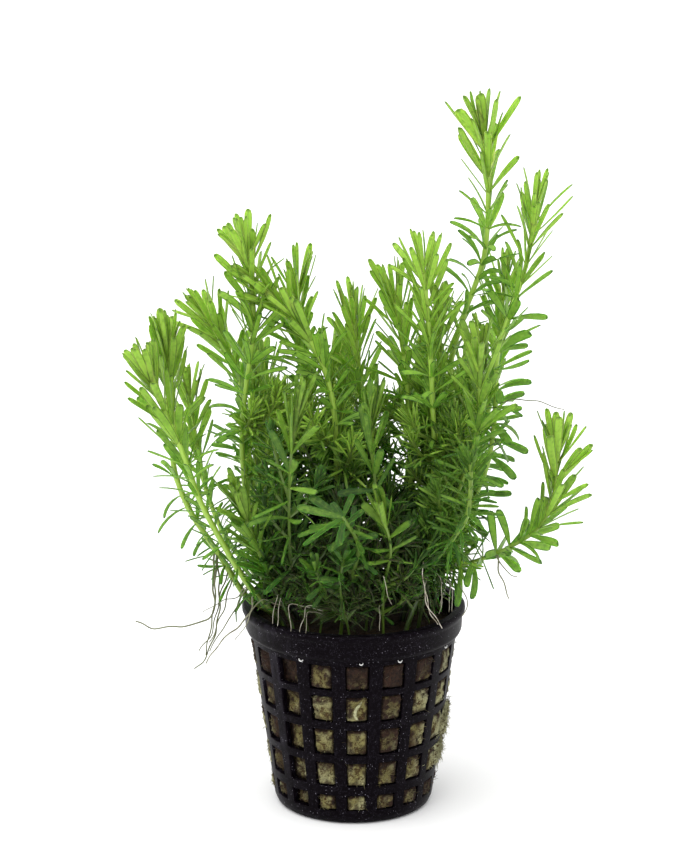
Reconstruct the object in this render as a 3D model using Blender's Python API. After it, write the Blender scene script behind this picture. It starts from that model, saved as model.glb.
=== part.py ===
"""A potted whorly rotala: water-plant shoots rooted in rock wool, in a black net pot.

The object is in metres, with +Z up. Its origin is the centre of the pot's underside, and
the side that faces -Y is its front. The sizes below are in millimetres, as they would be
measured on the plant, and mesh_object turns them into metres.

The pot is a lattice shell, the rock wool a plug with a socket for each stem, and each
shoot one solid: a stem, its leaves in whorls, and the few roots that hang clear of it.
"""

import math
from dataclasses import dataclass

import bpy
import numpy as np

MM = 0.001
GAP = 0.35

# Net pot
POT_HEIGHT = 50.0
WALL = 1.5
COLUMNS = 17
FIRST_COLUMN_DEG = 2.0
HOLE_SHARE = 0.63
BASE_RADIUS = 19.0
TOP_OF_TAPER = (25.0, 43.4)
ROW_CENTRES = (5.6, 13.15, 21.75, 30.5, 38.7)
HOLE_HEIGHTS = (4.0, 6.2, 6.7, 6.6, 6.3)
BASE_SLOT = (6.5, 15.0)
COLLAR_RADIUS = 26.2
LIP_RADIUS = 27.0
LIP_THICKNESS = 2.0

# Rock wool
WOOL_SIDES = 18
WOOL_EDGE_HEIGHT = 45.5
WOOL_TOP = 47.0
SOCKET_FLOOR = 40.5
STEM_EMERGES = 47.6

# Shoots
STEM_SIDES = 4
STEM_RADIUS = 0.95
STEM_TIP_RADIUS = 0.65
WHORL_HEIGHT = 1.2
CROWN_REACH = 8.0
LOWEST_WHORL = 53.0
LEAF_TIP_WIDTH = 1.3
LEAF_SPACING = 1.5
ROOT_RADIUS = 0.32
ROOT_SIDES = 3
CHECK_STEP = 3.0

Point = tuple[float, float, float]


@dataclass(frozen=True)
class Whorl:
    """A ring of leaves: how far below the stem's end, how far from upright, and how long."""

    below_end: float
    lean_deg: float
    length: float
    blunt: bool


HEAD_WHORLS = (
    Whorl(1.6, 13.0, 9.6, True),
    Whorl(5.8, 28.0, 11.8, True),
    Whorl(10.8, 35.0, 11.2, True),
)
LOW_WHORL_START = 19.0
LOW_WHORL_STEP = 11.4
LOW_LEANS_DEG = (50.0, 64.0, 76.0, 86.0, 94.0)
LOW_LEAF_LENGTH = 8.5


@dataclass(frozen=True)
class Shoot:
    """One shoot of the clump.

    foot is where its stem enters the wool, and route runs from above the wool to the
    leaf tips of its crown. Each of its roots leaves the stem near the first point given.
    """

    name: str
    foot: tuple[float, float]
    route: tuple[Point, ...]
    roots: tuple[tuple[Point, ...], ...] = ()


SHOOTS = (
    Shoot(
        "right_tallest",
        (16.5, 7.0),
        (
            (19.0, 8.0, 58.0), (23.5, 8.0, 76.0), (24.5, 6.0, 92.5), (23.0, 4.0, 107.0),
            (26.0, 3.0, 120.0), (30.5, 3.0, 133.5), (31.5, 2.0, 145.0), (31.0, 2.0, 158.0),
            (29.0, 2.0, 174.0),
        ),
    ),
    Shoot(
        "right_second",
        (19.0, 0.5),
        (
            (23.0, 0.0, 64.5), (28.0, -4.0, 75.5), (32.0, -6.0, 87.5), (33.5, -6.0, 101.0),
            (34.0, -4.0, 113.5), (37.5, -2.0, 124.0), (41.0, 0.0, 135.5), (43.5, 0.0, 154.5),
        ),
    ),
    Shoot(
        "right_leaning",
        (15.0, 13.0),
        (
            (25.0, 12.0, 67.0), (30.5, 14.0, 84.5), (34.0, 16.0, 101.5), (35.5, 16.0, 116.5),
            (37.0, 16.0, 133.5),
        ),
    ),
    Shoot(
        "right_middle",
        (15.5, -10.0),
        ((20.5, -11.0, 69.5), (25.5, -15.5, 85.0), (29.0, -19.0, 100.5), (28.5, -20.0, 126.5)),
    ),
    Shoot(
        "right_inner",
        (15.0, 2.8),
        ((19.0, 4.0, 59.5), (20.0, 1.0, 83.0), (20.5, -1.0, 100.5), (20.0, -3.0, 130.5)),
    ),
    Shoot(
        "centre_right_high",
        (12.0, -3.0),
        (
            (16.5, -4.0, 62.0), (19.0, -8.0, 85.5), (18.5, -9.0, 102.5), (17.5, -9.0, 119.5),
            (16.0, -9.0, 144.0),
        ),
    ),
    Shoot(
        "centre_right",
        (10.0, 2.5),
        ((12.5, 2.0, 60.0), (14.0, 4.0, 82.0), (13.0, 6.0, 101.5), (11.0, 6.0, 116.0), (8.0, 5.0, 134.0)),
    ),
    Shoot(
        "centre",
        (3.0, 8.0),
        ((1.5, 8.0, 58.0), (2.0, 12.0, 82.5), (1.5, 14.0, 102.0), (-1.0, 14.0, 126.5)),
    ),
    Shoot(
        "centre_slim",
        (-4.0, 11.5),
        ((-4.5, 12.0, 57.0), (-5.0, 18.0, 80.5), (-5.5, 20.0, 100.5), (-6.5, 20.0, 115.0)),
    ),
    Shoot(
        "left_centre",
        (-8.0, 7.0),
        ((-8.5, 8.0, 58.0), (-10.0, 10.0, 80.5), (-11.5, 10.0, 100.5), (-13.5, 8.0, 118.0), (-12.0, 6.0, 136.5)),
    ),
    Shoot(
        "left_slanting",
        (-3.0, -2.0),
        (
            (-4.5, -2.0, 61.5), (-4.0, -4.0, 84.5), (-5.5, -5.0, 104.0), (-11.0, -6.0, 117.5),
            (-18.5, -7.0, 126.5), (-27.5, -8.0, 134.5),
        ),
    ),
    Shoot(
        "left_high",
        (-14.0, -2.0),
        (
            (-22.0, -4.0, 58.0), (-25.5, -6.0, 77.5), (-26.5, -6.0, 92.0), (-25.5, -6.0, 104.5),
            (-23.5, -6.0, 119.0), (-24.0, -6.0, 129.5), (-26.5, -6.0, 147.0),
        ),
    ),
    Shoot(
        "left_leaning",
        (-15.0, 4.5),
        (
            (-21.0, 6.0, 56.0), (-24.5, 8.0, 73.5), (-26.5, 8.0, 91.0), (-27.5, 6.0, 105.0),
            (-33.0, 4.0, 116.5), (-39.5, 2.0, 127.5),
        ),
    ),
    Shoot(
        "far_left",
        (-19.0, -4.0),
        (
            (-26.0, -4.0, 53.0), (-32.0, -7.0, 64.0), (-39.0, -9.0, 76.0), (-42.5, -10.0, 87.0),
            (-42.5, -10.0, 98.0), (-43.5, -9.0, 110.0), (-43.5, -8.0, 124.0),
        ),
        (
            (
                (-33.0, -7.5, 66.0), (-33.5, -8.5, 57.0), (-33.5, -9.5, 50.5), (-37.0, -11.0, 48.0),
                (-44.5, -12.0, 47.5), (-52.0, -12.0, 49.0),
            ),
            (
                (-35.0, -7.5, 69.0), (-34.5, -12.0, 59.5), (-33.5, -13.0, 52.0), (-34.5, -13.0, 44.5),
                (-38.0, -12.0, 37.0),
            ),
        ),
    ),
    Shoot(
        "far_left_low",
        (-17.0, -9.0),
        ((-24.0, -10.0, 56.0), (-30.0, -16.0, 68.0), (-36.0, -20.0, 81.5), (-40.0, -22.0, 94.0), (-51.0, -20.0, 119.5)),
    ),
    Shoot(
        "far_left_back",
        (-18.5, 9.0),
        ((-24.0, 10.0, 54.0), (-31.5, 14.0, 62.5), (-36.5, 18.0, 74.5), (-39.0, 20.0, 88.0), (-40.0, 20.0, 109.0)),
    ),
    Shoot(
        "front_left",
        (-11.0, -13.0),
        ((-14.5, -16.0, 60.5), (-15.0, -26.0, 83.0), (-14.0, -30.0, 98.5), (-11.5, -31.0, 114.0)),
    ),
    Shoot(
        "front_centre",
        (3.0, -11.0),
        ((4.5, -12.0, 64.5), (5.0, -20.0, 84.0), (4.0, -24.0, 97.0), (5.5, -25.0, 112.5)),
    ),
    Shoot("front_facing", (-3.0, -14.0), ((-1.0, -18.0, 60.0), (1.0, -26.0, 72.0), (-3.5, -38.0, 84.0))),
    Shoot(
        "front_short",
        (7.0, -15.5),
        ((7.0, -18.0, 59.0), (8.5, -25.0, 70.0), (7.0, -28.0, 78.5), (4.0, -30.0, 88.5)),
    ),
    Shoot("front_low_left", (-8.0, -17.0), ((-11.5, -18.0, 57.5), (-11.0, -24.0, 64.0), (-10.0, -30.0, 72.0))),
    Shoot("front_low_right", (-1.0, -19.0), ((-1.0, -22.0, 56.5), (0.5, -28.5, 64.0), (0.5, -32.0, 73.0))),
    Shoot(
        "right_arching",
        (13.5, -6.5),
        (
            (16.0, -8.0, 56.0), (22.5, -8.0, 60.5), (32.5, -12.0, 65.5), (41.5, -14.0, 71.0),
            (46.0, -14.0, 77.0), (47.5, -13.0, 84.5), (48.5, -11.0, 101.0),
        ),
        (
            ((34.0, -12.5, 66.0), (35.0, -13.0, 59.5), (37.0, -13.0, 54.5)),
            ((23.5, -8.5, 61.0), (27.0, -12.0, 57.5), (29.0, -12.0, 53.5), (27.5, -12.5, 49.0)),
        ),
    ),
    Shoot(
        "right_low",
        (12.5, -14.0),
        ((18.0, -14.0, 62.5), (23.0, -22.0, 72.5), (26.5, -26.0, 80.5), (27.0, -28.0, 96.0)),
    ),
    Shoot("left_low", (-14.5, -12.5), ((-18.5, -12.0, 57.0), (-22.5, -20.0, 69.5), (-29.0, -28.0, 91.0))),
    Shoot("back_left", (-11.0, 12.5), ((-13.0, 14.0, 56.5), (-19.0, 26.0, 76.0), (-24.0, 34.0, 108.0))),
    Shoot("back_centre", (0.0, 16.0), ((-0.5, 16.0, 55.5), (-1.5, 30.0, 77.5), (-2.0, 38.0, 106.0))),
    Shoot("back_right", (8.5, 12.5), ((10.5, 14.0, 56.5), (13.5, 26.0, 76.0), (17.5, 35.0, 108.0))),
    Shoot("back_far_right", (11.0, 17.5), ((17.0, 19.0, 56.5), (25.0, 26.0, 73.5), (29.5, 34.0, 106.0))),
)


def make_material(name: str, color: Point, roughness: float) -> bpy.types.Material:
    """Return a Principled material of one colour."""
    material = bpy.data.materials.new(name)
    material.use_nodes = True
    shader = material.node_tree.nodes["Principled BSDF"]
    shader.inputs["Base Color"].default_value = (*color, 1.0)
    shader.inputs["Roughness"].default_value = roughness
    shader.inputs["Metallic"].default_value = 0.0
    return material


def mesh_object(name, points, faces, material, parent):
    """Return an object of the faces, whose points are in millimetres and run round them anticlockwise."""
    mesh = bpy.data.meshes.new(name)
    mesh.from_pydata([tuple(MM * value for value in point) for point in points], [], faces)
    mesh.materials.append(material)
    obj = bpy.data.objects.new(name, mesh)
    obj.parent = parent
    bpy.context.scene.collection.objects.link(obj)
    return obj


def hide_helper(helper) -> None:
    """Keep a cutter or a guide out of the finished object."""
    helper.hide_render = True
    helper.display_type = "WIRE"


def add_boolean(obj, other, operation: str) -> None:
    """Cut or join obj with a helper."""
    hide_helper(other)
    modifier = obj.modifiers.new(operation.title(), "BOOLEAN")
    modifier.operation = operation
    modifier.solver = "EXACT"
    modifier.object = other


# Net pot

def taper_radius(height: float) -> float:
    """Return the outer radius of the pot's tapered body at a height."""
    top_radius, top_height = TOP_OF_TAPER
    return BASE_RADIUS + (top_radius - BASE_RADIUS) * height / top_height


def pot_levels():
    """Return the pot's wall as pairs of an outer and an inner (radius, height), and its open bands.

    The levels run from the base's solid centre out to its corner, and up the wall to the
    lip. An open band is the number of the level below a row of holes.
    """
    levels = [((radius, 0.0), (radius, WALL)) for radius in BASE_SLOT]
    open_bands = [0]
    levels.append(((BASE_RADIUS, 0.0), (BASE_RADIUS - WALL, WALL)))
    for centre, height in zip(ROW_CENTRES, HOLE_HEIGHTS):
        open_bands.append(len(levels))
        for edge in (centre - height / 2, centre + height / 2):
            radius = taper_radius(edge)
            levels.append(((radius, edge), (radius - WALL, edge)))
    radius, height = TOP_OF_TAPER
    bore = radius - WALL + 0.8
    levels.append(((radius, height), (radius - WALL, height)))
    levels.append(((COLLAR_RADIUS, height + 1.2), (bore, height + 1.2)))
    levels.append(((COLLAR_RADIUS, POT_HEIGHT - LIP_THICKNESS - 0.4), (bore, POT_HEIGHT - LIP_THICKNESS - 0.4)))
    levels.append(((LIP_RADIUS, POT_HEIGHT - LIP_THICKNESS), (bore, POT_HEIGHT - LIP_THICKNESS)))
    levels.append(((LIP_RADIUS, POT_HEIGHT), (bore + 0.3, POT_HEIGHT)))
    return levels, open_bands


def column_angles() -> list[float]:
    """Return the angles of the holes' two sides, in order round the pot, in radians."""
    pitch = 360.0 / COLUMNS
    angles = []
    for column in range(COLUMNS):
        middle = FIRST_COLUMN_DEG - 90.0 + column * pitch
        angles.append(math.radians(middle - pitch * HOLE_SHARE / 2))
        angles.append(math.radians(middle + pitch * HOLE_SHARE / 2))
    return angles


def make_net_pot(material, parent):
    """Make the pot: a base with slots, five rows of square holes, a collar and a lip."""
    levels, open_bands = pot_levels()
    angles = column_angles()
    sectors = len(angles)
    points = []
    for pair in levels:
        for radius, height in pair:
            points += [(radius * math.cos(a), radius * math.sin(a), height) for a in angles]

    def corner(level: int, inside: int, sector: int) -> int:
        return (2 * level + inside) * sectors + sector % sectors

    def is_open(level: int, sector: int) -> bool:
        return level in open_bands and sector % 2 == 0

    disc = range(sectors)
    faces = [[corner(0, 0, sector) for sector in reversed(disc)], [corner(0, 1, sector) for sector in disc]]
    last = len(levels) - 1
    for sector in range(sectors):
        after = sector + 1
        faces.append([corner(last, 0, sector), corner(last, 0, after), corner(last, 1, after), corner(last, 1, sector)])
        for level in range(last):
            square = [(level, sector), (level, after), (level + 1, after), (level + 1, sector)]
            if not is_open(level, sector):
                faces.append([corner(k, 0, s) for k, s in square])
                faces.append([corner(k, 1, s) for k, s in reversed(square)])
                continue
            for (k, s), (next_k, next_s) in zip(square, square[1:] + square[:1]):
                faces.append([corner(k, 0, s), corner(next_k, 0, next_s), corner(next_k, 1, next_s), corner(k, 1, s)])
    return mesh_object("net_pot", points, faces, material, parent)


# Rock wool

def lathe(profile, sides: int, turn: float):
    """Return the points and faces of a closed solid turned from a profile that ends on the axis."""
    points = []
    faces = []
    for radius, height in profile:
        points += [
            (radius * math.cos(turn + math.tau * k / sides), radius * math.sin(turn + math.tau * k / sides), height)
            for k in range(sides)
        ]
    for ring in range(len(profile) - 1):
        for k in range(sides):
            after = (k + 1) % sides
            faces.append([ring * sides + k, ring * sides + after, (ring + 1) * sides + after, (ring + 1) * sides + k])
    faces.append(list(reversed(range(sides))))
    faces.append([(len(profile) - 1) * sides + k for k in range(sides)])
    return points, faces


def make_rock_wool(material, parent):
    """Make the plug that fills the pot, with a socket for each stem."""
    bottom = WALL + GAP
    shoulder = TOP_OF_TAPER[1]
    wall_gap = WALL + GAP + 0.1
    profile = (
        (taper_radius(bottom) - wall_gap - 0.4, bottom),
        (taper_radius(shoulder) - wall_gap, shoulder),
        (taper_radius(shoulder) - wall_gap, WOOL_EDGE_HEIGHT),
        (13.0, WOOL_TOP),
    )
    points, faces = lathe(profile, WOOL_SIDES, math.radians(FIRST_COLUMN_DEG))
    wool = mesh_object("rock_wool", points, faces, material, parent)
    cutter_points = []
    cutter_faces = []
    socket = STEM_RADIUS + GAP * math.sqrt(2)
    for shoot in SHOOTS:
        points, faces = lathe(((socket, SOCKET_FLOOR - GAP), (socket, POT_HEIGHT)), STEM_SIDES, 0.0)
        start = len(cutter_points)
        cutter_points += [(x + shoot.foot[0], y + shoot.foot[1], z) for x, y, z in points]
        cutter_faces += [[start + index for index in face] for face in faces]
    sockets = mesh_object("stem_sockets", cutter_points, cutter_faces, material, parent)
    add_boolean(wool, sockets, "DIFFERENCE")
    return wool


# Shoots

class Curve:
    """A smooth curve through points, read by the distance along it."""

    STEPS = 12

    def __init__(self, points) -> None:
        given = np.array(points, float)
        padded = np.vstack([2 * given[0] - given[1], given, 2 * given[-1] - given[-2]])
        share = np.linspace(0.0, 1.0, self.STEPS, endpoint=False)[:, None]
        runs = []
        for before, start, end, after in zip(padded, padded[1:], padded[2:], padded[3:]):
            runs.append(
                0.5 * (
                    2 * start
                    + (end - before) * share
                    + (2 * before - 5 * start + 4 * end - after) * share**2
                    + (3 * start - before - 3 * end + after) * share**3
                )
            )
        self.points = np.vstack([*runs, given[-1:]])
        steps = np.linalg.norm(np.diff(self.points, axis=0), axis=1)
        self.distances = np.concatenate([[0.0], np.cumsum(steps)])
        self.length = float(self.distances[-1])

    def at(self, distance: float):
        """Return the point at a distance from the curve's start."""
        return np.array([np.interp(distance, self.distances, self.points[:, axis]) for axis in range(3)])

    def direction(self, distance: float):
        """Return the curve's unit direction at a distance from its start."""
        step = self.at(distance + 0.5) - self.at(distance - 0.5)
        return step / np.linalg.norm(step)

    def distance_at_height(self, height: float) -> float:
        """Return the distance at which the curve first reaches a height."""
        return float(self.distances[np.argmax(self.points[:, 2] >= height)])


def ring_round(centre, along, radius: float, turn: float, sides: int):
    """Return a ring of points that runs anticlockwise round a curve, seen from its far end."""
    across = np.cross(along, (0.0, 1.0, 0.0))
    across /= np.linalg.norm(across)
    ahead = np.cross(along, across)
    angles = turn + math.tau * np.arange(sides) / sides
    return centre + radius * (np.outer(np.cos(angles), across) + np.outer(np.sin(angles), ahead))


class Clearance:
    """The straight pieces that are already placed, so that a new leaf can keep clear of them."""

    SAMPLES = 11

    def __init__(self) -> None:
        self.starts = np.empty((0, 3))
        self.ends = np.empty((0, 3))
        self.radii = np.empty(0)
        self.owners = np.empty(0, "U48")

    def add(self, starts, ends, radius: float, owner: str) -> None:
        """Note pieces of one radius. owner names the stem or the whorl that they belong to."""
        self.starts = np.vstack([self.starts, starts])
        self.ends = np.vstack([self.ends, ends])
        self.radii = np.concatenate([self.radii, np.full(len(starts), radius)])
        self.owners = np.concatenate([self.owners, np.full(len(starts), owner)])

    def is_free(self, start, end, kin: tuple[str, str]) -> bool:
        """Tell whether a leaf from start to end clears the pot, the wool and all but its kin."""
        samples = np.linspace(start, end, self.SAMPLES)
        across = np.hypot(samples[:, 0], samples[:, 1])
        heights = samples[:, 2]
        over_wool = (across < COLLAR_RADIUS - 3.0) & (heights > WOOL_TOP + 1.2)
        near_pot = (across < LIP_RADIUS + 1.2) & (heights < POT_HEIGHT + 1.2)
        if np.any(near_pot & ~over_wool):
            return False
        others = ~np.isin(self.owners, kin)
        starts = self.starts[others]
        spans = self.ends[others] - starts
        offsets = samples[:, None, :] - starts[None]
        shares = np.einsum("ijk,jk->ij", offsets, spans) / np.maximum(np.einsum("jk,jk->j", spans, spans), 1e-9)
        nearest = offsets - np.clip(shares, 0.0, 1.0)[:, :, None] * spans[None]
        distances = np.linalg.norm(nearest, axis=2)
        return bool(np.all(distances > self.radii[others] + LEAF_SPACING / 2))


def whorls_of(stem: Curve, stem_end: float) -> list[tuple[float, Whorl]]:
    """Return each whorl of a stem with its distance along it, from the lowest up."""
    lowest = stem.distance_at_height(LOWEST_WHORL)
    found = []
    for whorl in HEAD_WHORLS:
        if stem_end - whorl.below_end > lowest:
            found.append((stem_end - whorl.below_end, whorl))
    below = LOW_WHORL_START
    leans = list(LOW_LEANS_DEG)
    while stem_end - below > lowest:
        lean = leans.pop(0) if len(leans) > 1 else leans[0]
        found.append((stem_end - below, Whorl(below, lean, LOW_LEAF_LENGTH, False)))
        below += LOW_WHORL_STEP
    return found[::-1]


def leaf_tip(root, along, outward, whorl: Whorl, turn_deg: float, shrink: float):
    """Return the tip of a leaf that leans out from its stem."""
    lean = math.radians(whorl.lean_deg + turn_deg)
    return root + whorl.length * shrink * (math.cos(lean) * along + math.sin(lean) * outward)


def find_leaf(root, along, outward, whorl: Whorl, clearance: Clearance, kin: tuple[str, str]):
    """Return the tip of the leaf nearest to its natural lean and length that clears everything."""
    for shrink in (1.0, 0.85, 0.7, 0.55, 0.42):
        for turn_deg in (0.0, 9.0, -9.0, 18.0, -18.0):
            tip = leaf_tip(root, along, outward, whorl, turn_deg, shrink)
            clear_start = root + (tip - root) * 0.12
            if clearance.is_free(clear_start, tip, kin):
                return tip
    return None


def leaf_faces(points: list, lower, upper, tip, outward, blunt: bool):
    """Add a leaf's tip to the points, and return its faces.

    lower and upper are the numbers of the two points of its foot on either edge. A blunt
    leaf is a strap that ends in an edge across, and any other runs to a point.
    """
    first = len(points)
    (low_left, low_right), (high_left, high_right) = lower, upper
    if not blunt:
        points.append(tuple(tip))
        edge = [low_left, low_right, high_right, high_left]
        return [[edge[k], edge[(k + 1) % 4], first] for k in range(4)]
    across = np.array(points[high_right]) - np.array(points[high_left])
    across *= LEAF_TIP_WIDTH / 2 / np.linalg.norm(across)
    points.append(tuple(tip - across))
    points.append(tuple(tip + across))
    return [
        [low_left, low_right, first + 1, first],
        [first, first + 1, high_right, high_left],
        [low_left, first, high_left],
        [low_right, high_right, first + 1],
    ]


def make_root(name: str, stem: Curve, route, material, parent):
    """Make a hanging root that starts inside its stem, as a helper to join to it."""
    start = stem.points[np.argmin(np.linalg.norm(stem.points - np.array(route[0]), axis=1))]
    curve = Curve((tuple(start), *route[1:]))
    count = 2 * (len(route) - 1)
    points = []
    for distance in np.linspace(0.0, curve.length, count + 1):
        radius = ROOT_RADIUS * (1.0 - 0.3 * distance / curve.length)
        points += [tuple(p) for p in ring_round(curve.at(distance), curve.direction(distance), radius, 0.0, ROOT_SIDES)]
    faces = [list(reversed(range(ROOT_SIDES))), [count * ROOT_SIDES + k for k in range(ROOT_SIDES)]]
    for ring in range(count):
        for k in range(ROOT_SIDES):
            after = (k + 1) % ROOT_SIDES
            faces.append([
                ring * ROOT_SIDES + k, ring * ROOT_SIDES + after,
                (ring + 1) * ROOT_SIDES + after, (ring + 1) * ROOT_SIDES + k,
            ])
    return mesh_object(name, points, faces, material, parent)


def stem_curve(shoot: Shoot) -> Curve:
    """Return the smooth line of a shoot, from the floor of its socket to its leaf tips."""
    x, y = shoot.foot
    return Curve(((x, y, SOCKET_FLOOR), (x, y, STEM_EMERGES), *shoot.route))


def make_shoot(shoot: Shoot, clearance: Clearance, material, parent):
    """Make one shoot: a four-sided stem whose sides grow a leaf each at every whorl."""
    stem = stem_curve(shoot)
    stem_end = stem.length - CROWN_REACH
    whorls = whorls_of(stem, stem_end)
    stations = [(0.0, None), (stem.distance_at_height(STEM_EMERGES), None)]
    for distance, whorl in whorls:
        stations += [(distance - WHORL_HEIGHT / 2, whorl), (distance + WHORL_HEIGHT / 2, None)]
    stations.append((stem_end, None))
    points = []
    faces = [list(reversed(range(STEM_SIDES)))]
    turn = 0.0
    for index, (distance, whorl) in enumerate(stations):
        radius = STEM_RADIUS + (STEM_TIP_RADIUS - STEM_RADIUS) * distance / stem_end
        centre = stem.at(distance)
        along = stem.direction(distance)
        points += [tuple(p) for p in ring_round(centre, along, radius, turn, STEM_SIDES)]
        if whorl is None and index > 1:
            turn += math.pi / STEM_SIDES
    starts = [index * STEM_SIDES for index in range(len(stations))]
    for index, (distance, whorl) in enumerate(stations[:-1]):
        along = stem.direction(distance)
        for side in range(STEM_SIDES):
            after = (side + 1) % STEM_SIDES
            lower = (starts[index] + side, starts[index] + after)
            upper = (starts[index + 1] + side, starts[index + 1] + after)
            tip = None
            if whorl is not None:
                foot = np.mean([points[k] for k in (*lower, *upper)], axis=0)
                outward = foot - stem.at(distance + WHORL_HEIGHT / 2)
                outward -= along * np.dot(outward, along)
                outward /= np.linalg.norm(outward)
                owner = f"{shoot.name} {index}"
                tip = find_leaf(foot, along, outward, whorl, clearance, (shoot.name, owner))
            if tip is None:
                faces.append([lower[0], lower[1], upper[1], upper[0]])
                continue
            faces += leaf_faces(points, lower, upper, tip, outward, whorl.blunt)
            clearance.add([foot + 0.12 * (tip - foot)], [tip], LEAF_SPACING / 2, owner)
    faces.append([starts[-1] + side for side in range(STEM_SIDES)])
    obj = mesh_object("shoot_" + shoot.name, points, faces, material, parent)
    for count, route in enumerate(shoot.roots, 1):
        root = make_root(f"root_{count}_of_{shoot.name}", stem, route, material, parent)
        add_boolean(obj, root, "UNION")
    return obj


def make_shoots(material, parent) -> None:
    """Make all the shoots, each leaf clear of what is already there."""
    clearance = Clearance()
    for shoot in SHOOTS:
        stem = stem_curve(shoot)
        pieces = math.ceil(stem.length / CHECK_STEP)
        stretch = np.array([stem.at(d) for d in np.linspace(0.0, stem.length - CROWN_REACH, pieces)])
        clearance.add(stretch[:-1], stretch[1:], STEM_RADIUS, shoot.name)
        for route in shoot.roots:
            hanging = Curve(route)
            clearance.add(hanging.points[2:-1], hanging.points[3:], ROOT_RADIUS, "roots of " + shoot.name)
    for shoot in SHOOTS:
        make_shoot(shoot, clearance, material, parent)


def main() -> None:
    """Clear the scene and make the potted plant."""
    for obj in list(bpy.data.objects):
        bpy.data.objects.remove(obj, do_unlink=True)
    base = bpy.data.objects.new("potted_whorly_rotala", None)
    bpy.context.scene.collection.objects.link(base)
    plastic = make_material("black_plastic", (0.012, 0.012, 0.014), 0.35)
    fibre = make_material("rock_wool", (0.2, 0.15, 0.07), 0.95)
    green = make_material("leaf_green", (0.13, 0.33, 0.02), 0.5)
    make_net_pot(plastic, base)
    make_rock_wool(fibre, base)
    make_shoots(green, base)


if __name__ == "__main__":
    main()
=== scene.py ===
"""Looks of a potted whorly rotala: leafy shoots rooted in rock wool, in a black net pot.

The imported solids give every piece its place. Each class below holds one sub-assembly: the
net pot, the rock wool, the shoots with their leaves and roots, and the studio that they
stand in. Tables give sizes in millimetres, and MM turns them into the metres of the frame.
The camera looks along +Y at the pot's front, from a little above.
"""

import logging
import math
from collections.abc import Sequence
from dataclasses import dataclass
from enum import Enum

import bpy
import numpy as np
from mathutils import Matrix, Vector, noise


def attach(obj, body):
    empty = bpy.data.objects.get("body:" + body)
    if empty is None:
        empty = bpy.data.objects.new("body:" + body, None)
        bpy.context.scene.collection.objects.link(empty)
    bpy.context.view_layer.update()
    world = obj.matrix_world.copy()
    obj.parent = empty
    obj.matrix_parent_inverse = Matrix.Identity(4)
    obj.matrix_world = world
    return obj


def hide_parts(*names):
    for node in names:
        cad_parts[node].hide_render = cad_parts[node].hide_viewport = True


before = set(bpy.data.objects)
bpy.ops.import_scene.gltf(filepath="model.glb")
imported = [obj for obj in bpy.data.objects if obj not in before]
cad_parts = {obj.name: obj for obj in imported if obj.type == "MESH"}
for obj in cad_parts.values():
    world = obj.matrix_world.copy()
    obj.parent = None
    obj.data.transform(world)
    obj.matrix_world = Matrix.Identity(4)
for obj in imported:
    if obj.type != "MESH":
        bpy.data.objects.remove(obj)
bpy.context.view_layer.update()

MM = 0.001
LOG = logging.getLogger("potted_rotala")

Point = tuple[float, float, float]
Colour = tuple[float, float, float]
Face = tuple[int, ...]
Array = np.ndarray


def linear(red: int, green: int, blue: int) -> Colour:
    """Turn a screen colour into linear light.

    Args:
        red: The red of the screen colour, from 0 to 255.
        green: The green, likewise.
        blue: The blue, likewise.

    Returns:
        The colour that a shader takes.
    """
    shares = (value / 255.0 for value in (red, green, blue))
    return tuple(
        share / 12.92 if share <= 0.04045 else ((share + 0.055) / 1.055) ** 2.4 for share in shares
    )


def clamp(value: float) -> float:
    """Keep a value between 0 and 1."""
    return min(1.0, max(0.0, value))


def wrapped(turn_deg: float) -> float:
    """Return the same turn, as one from -180 to 180 degrees."""
    return (turn_deg + 180.0) % 360.0 - 180.0


def hump(value: float, middle: float, width: float) -> float:
    """Return 1 at the middle, and less and less away from it."""
    return math.exp(-(((value - middle) / width) ** 2))


def soft_step(value: float, softness: float, strength: float = 1.0) -> float:
    """Return a step that rises from 0 to its strength where the value passes 0."""
    return strength / (1.0 + math.exp(-value / softness))


def directions_at(turn_deg: float) -> tuple[Array, Array]:
    """Find the level directions at a place on the pot's side.

    Args:
        turn_deg: Its turn from the front, towards +X.

    Returns:
        The outward direction, and the one sideways, the way that the turn grows.
    """
    angle = math.radians(turn_deg - 90.0)
    outward = np.array((math.cos(angle), math.sin(angle), 0.0))
    return outward, np.array((-math.sin(angle), math.cos(angle), 0.0))


def on_ring(radius: float, turn_deg: float, height: float) -> Point:
    """Return the point at a radius, a turn from the front, towards +X, and a height."""
    angle = math.radians(turn_deg - 90.0)
    return radius * math.cos(angle), radius * math.sin(angle), height


class Mark(Enum):
    """What a mesh point says about its place, as the name of its attribute."""

    ALONG = "along"
    ACROSS = "across"
    TONE = "tone"
    AGE = "age"


def even_marks(count: int, tone: float = 0.0, age: float | Array = 0.0) -> Array:
    """Return the marks of so many points that are on no leaf.

    Args:
        count: How many points.
        tone: Their tone.
        age: Their age, or the age of each.

    Returns:
        A row for each point, in the order of the Mark names.
    """
    columns = {Mark.TONE: tone, Mark.AGE: age}
    return np.column_stack([np.full(count, columns.get(mark, 0.0)) for mark in Mark])


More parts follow.
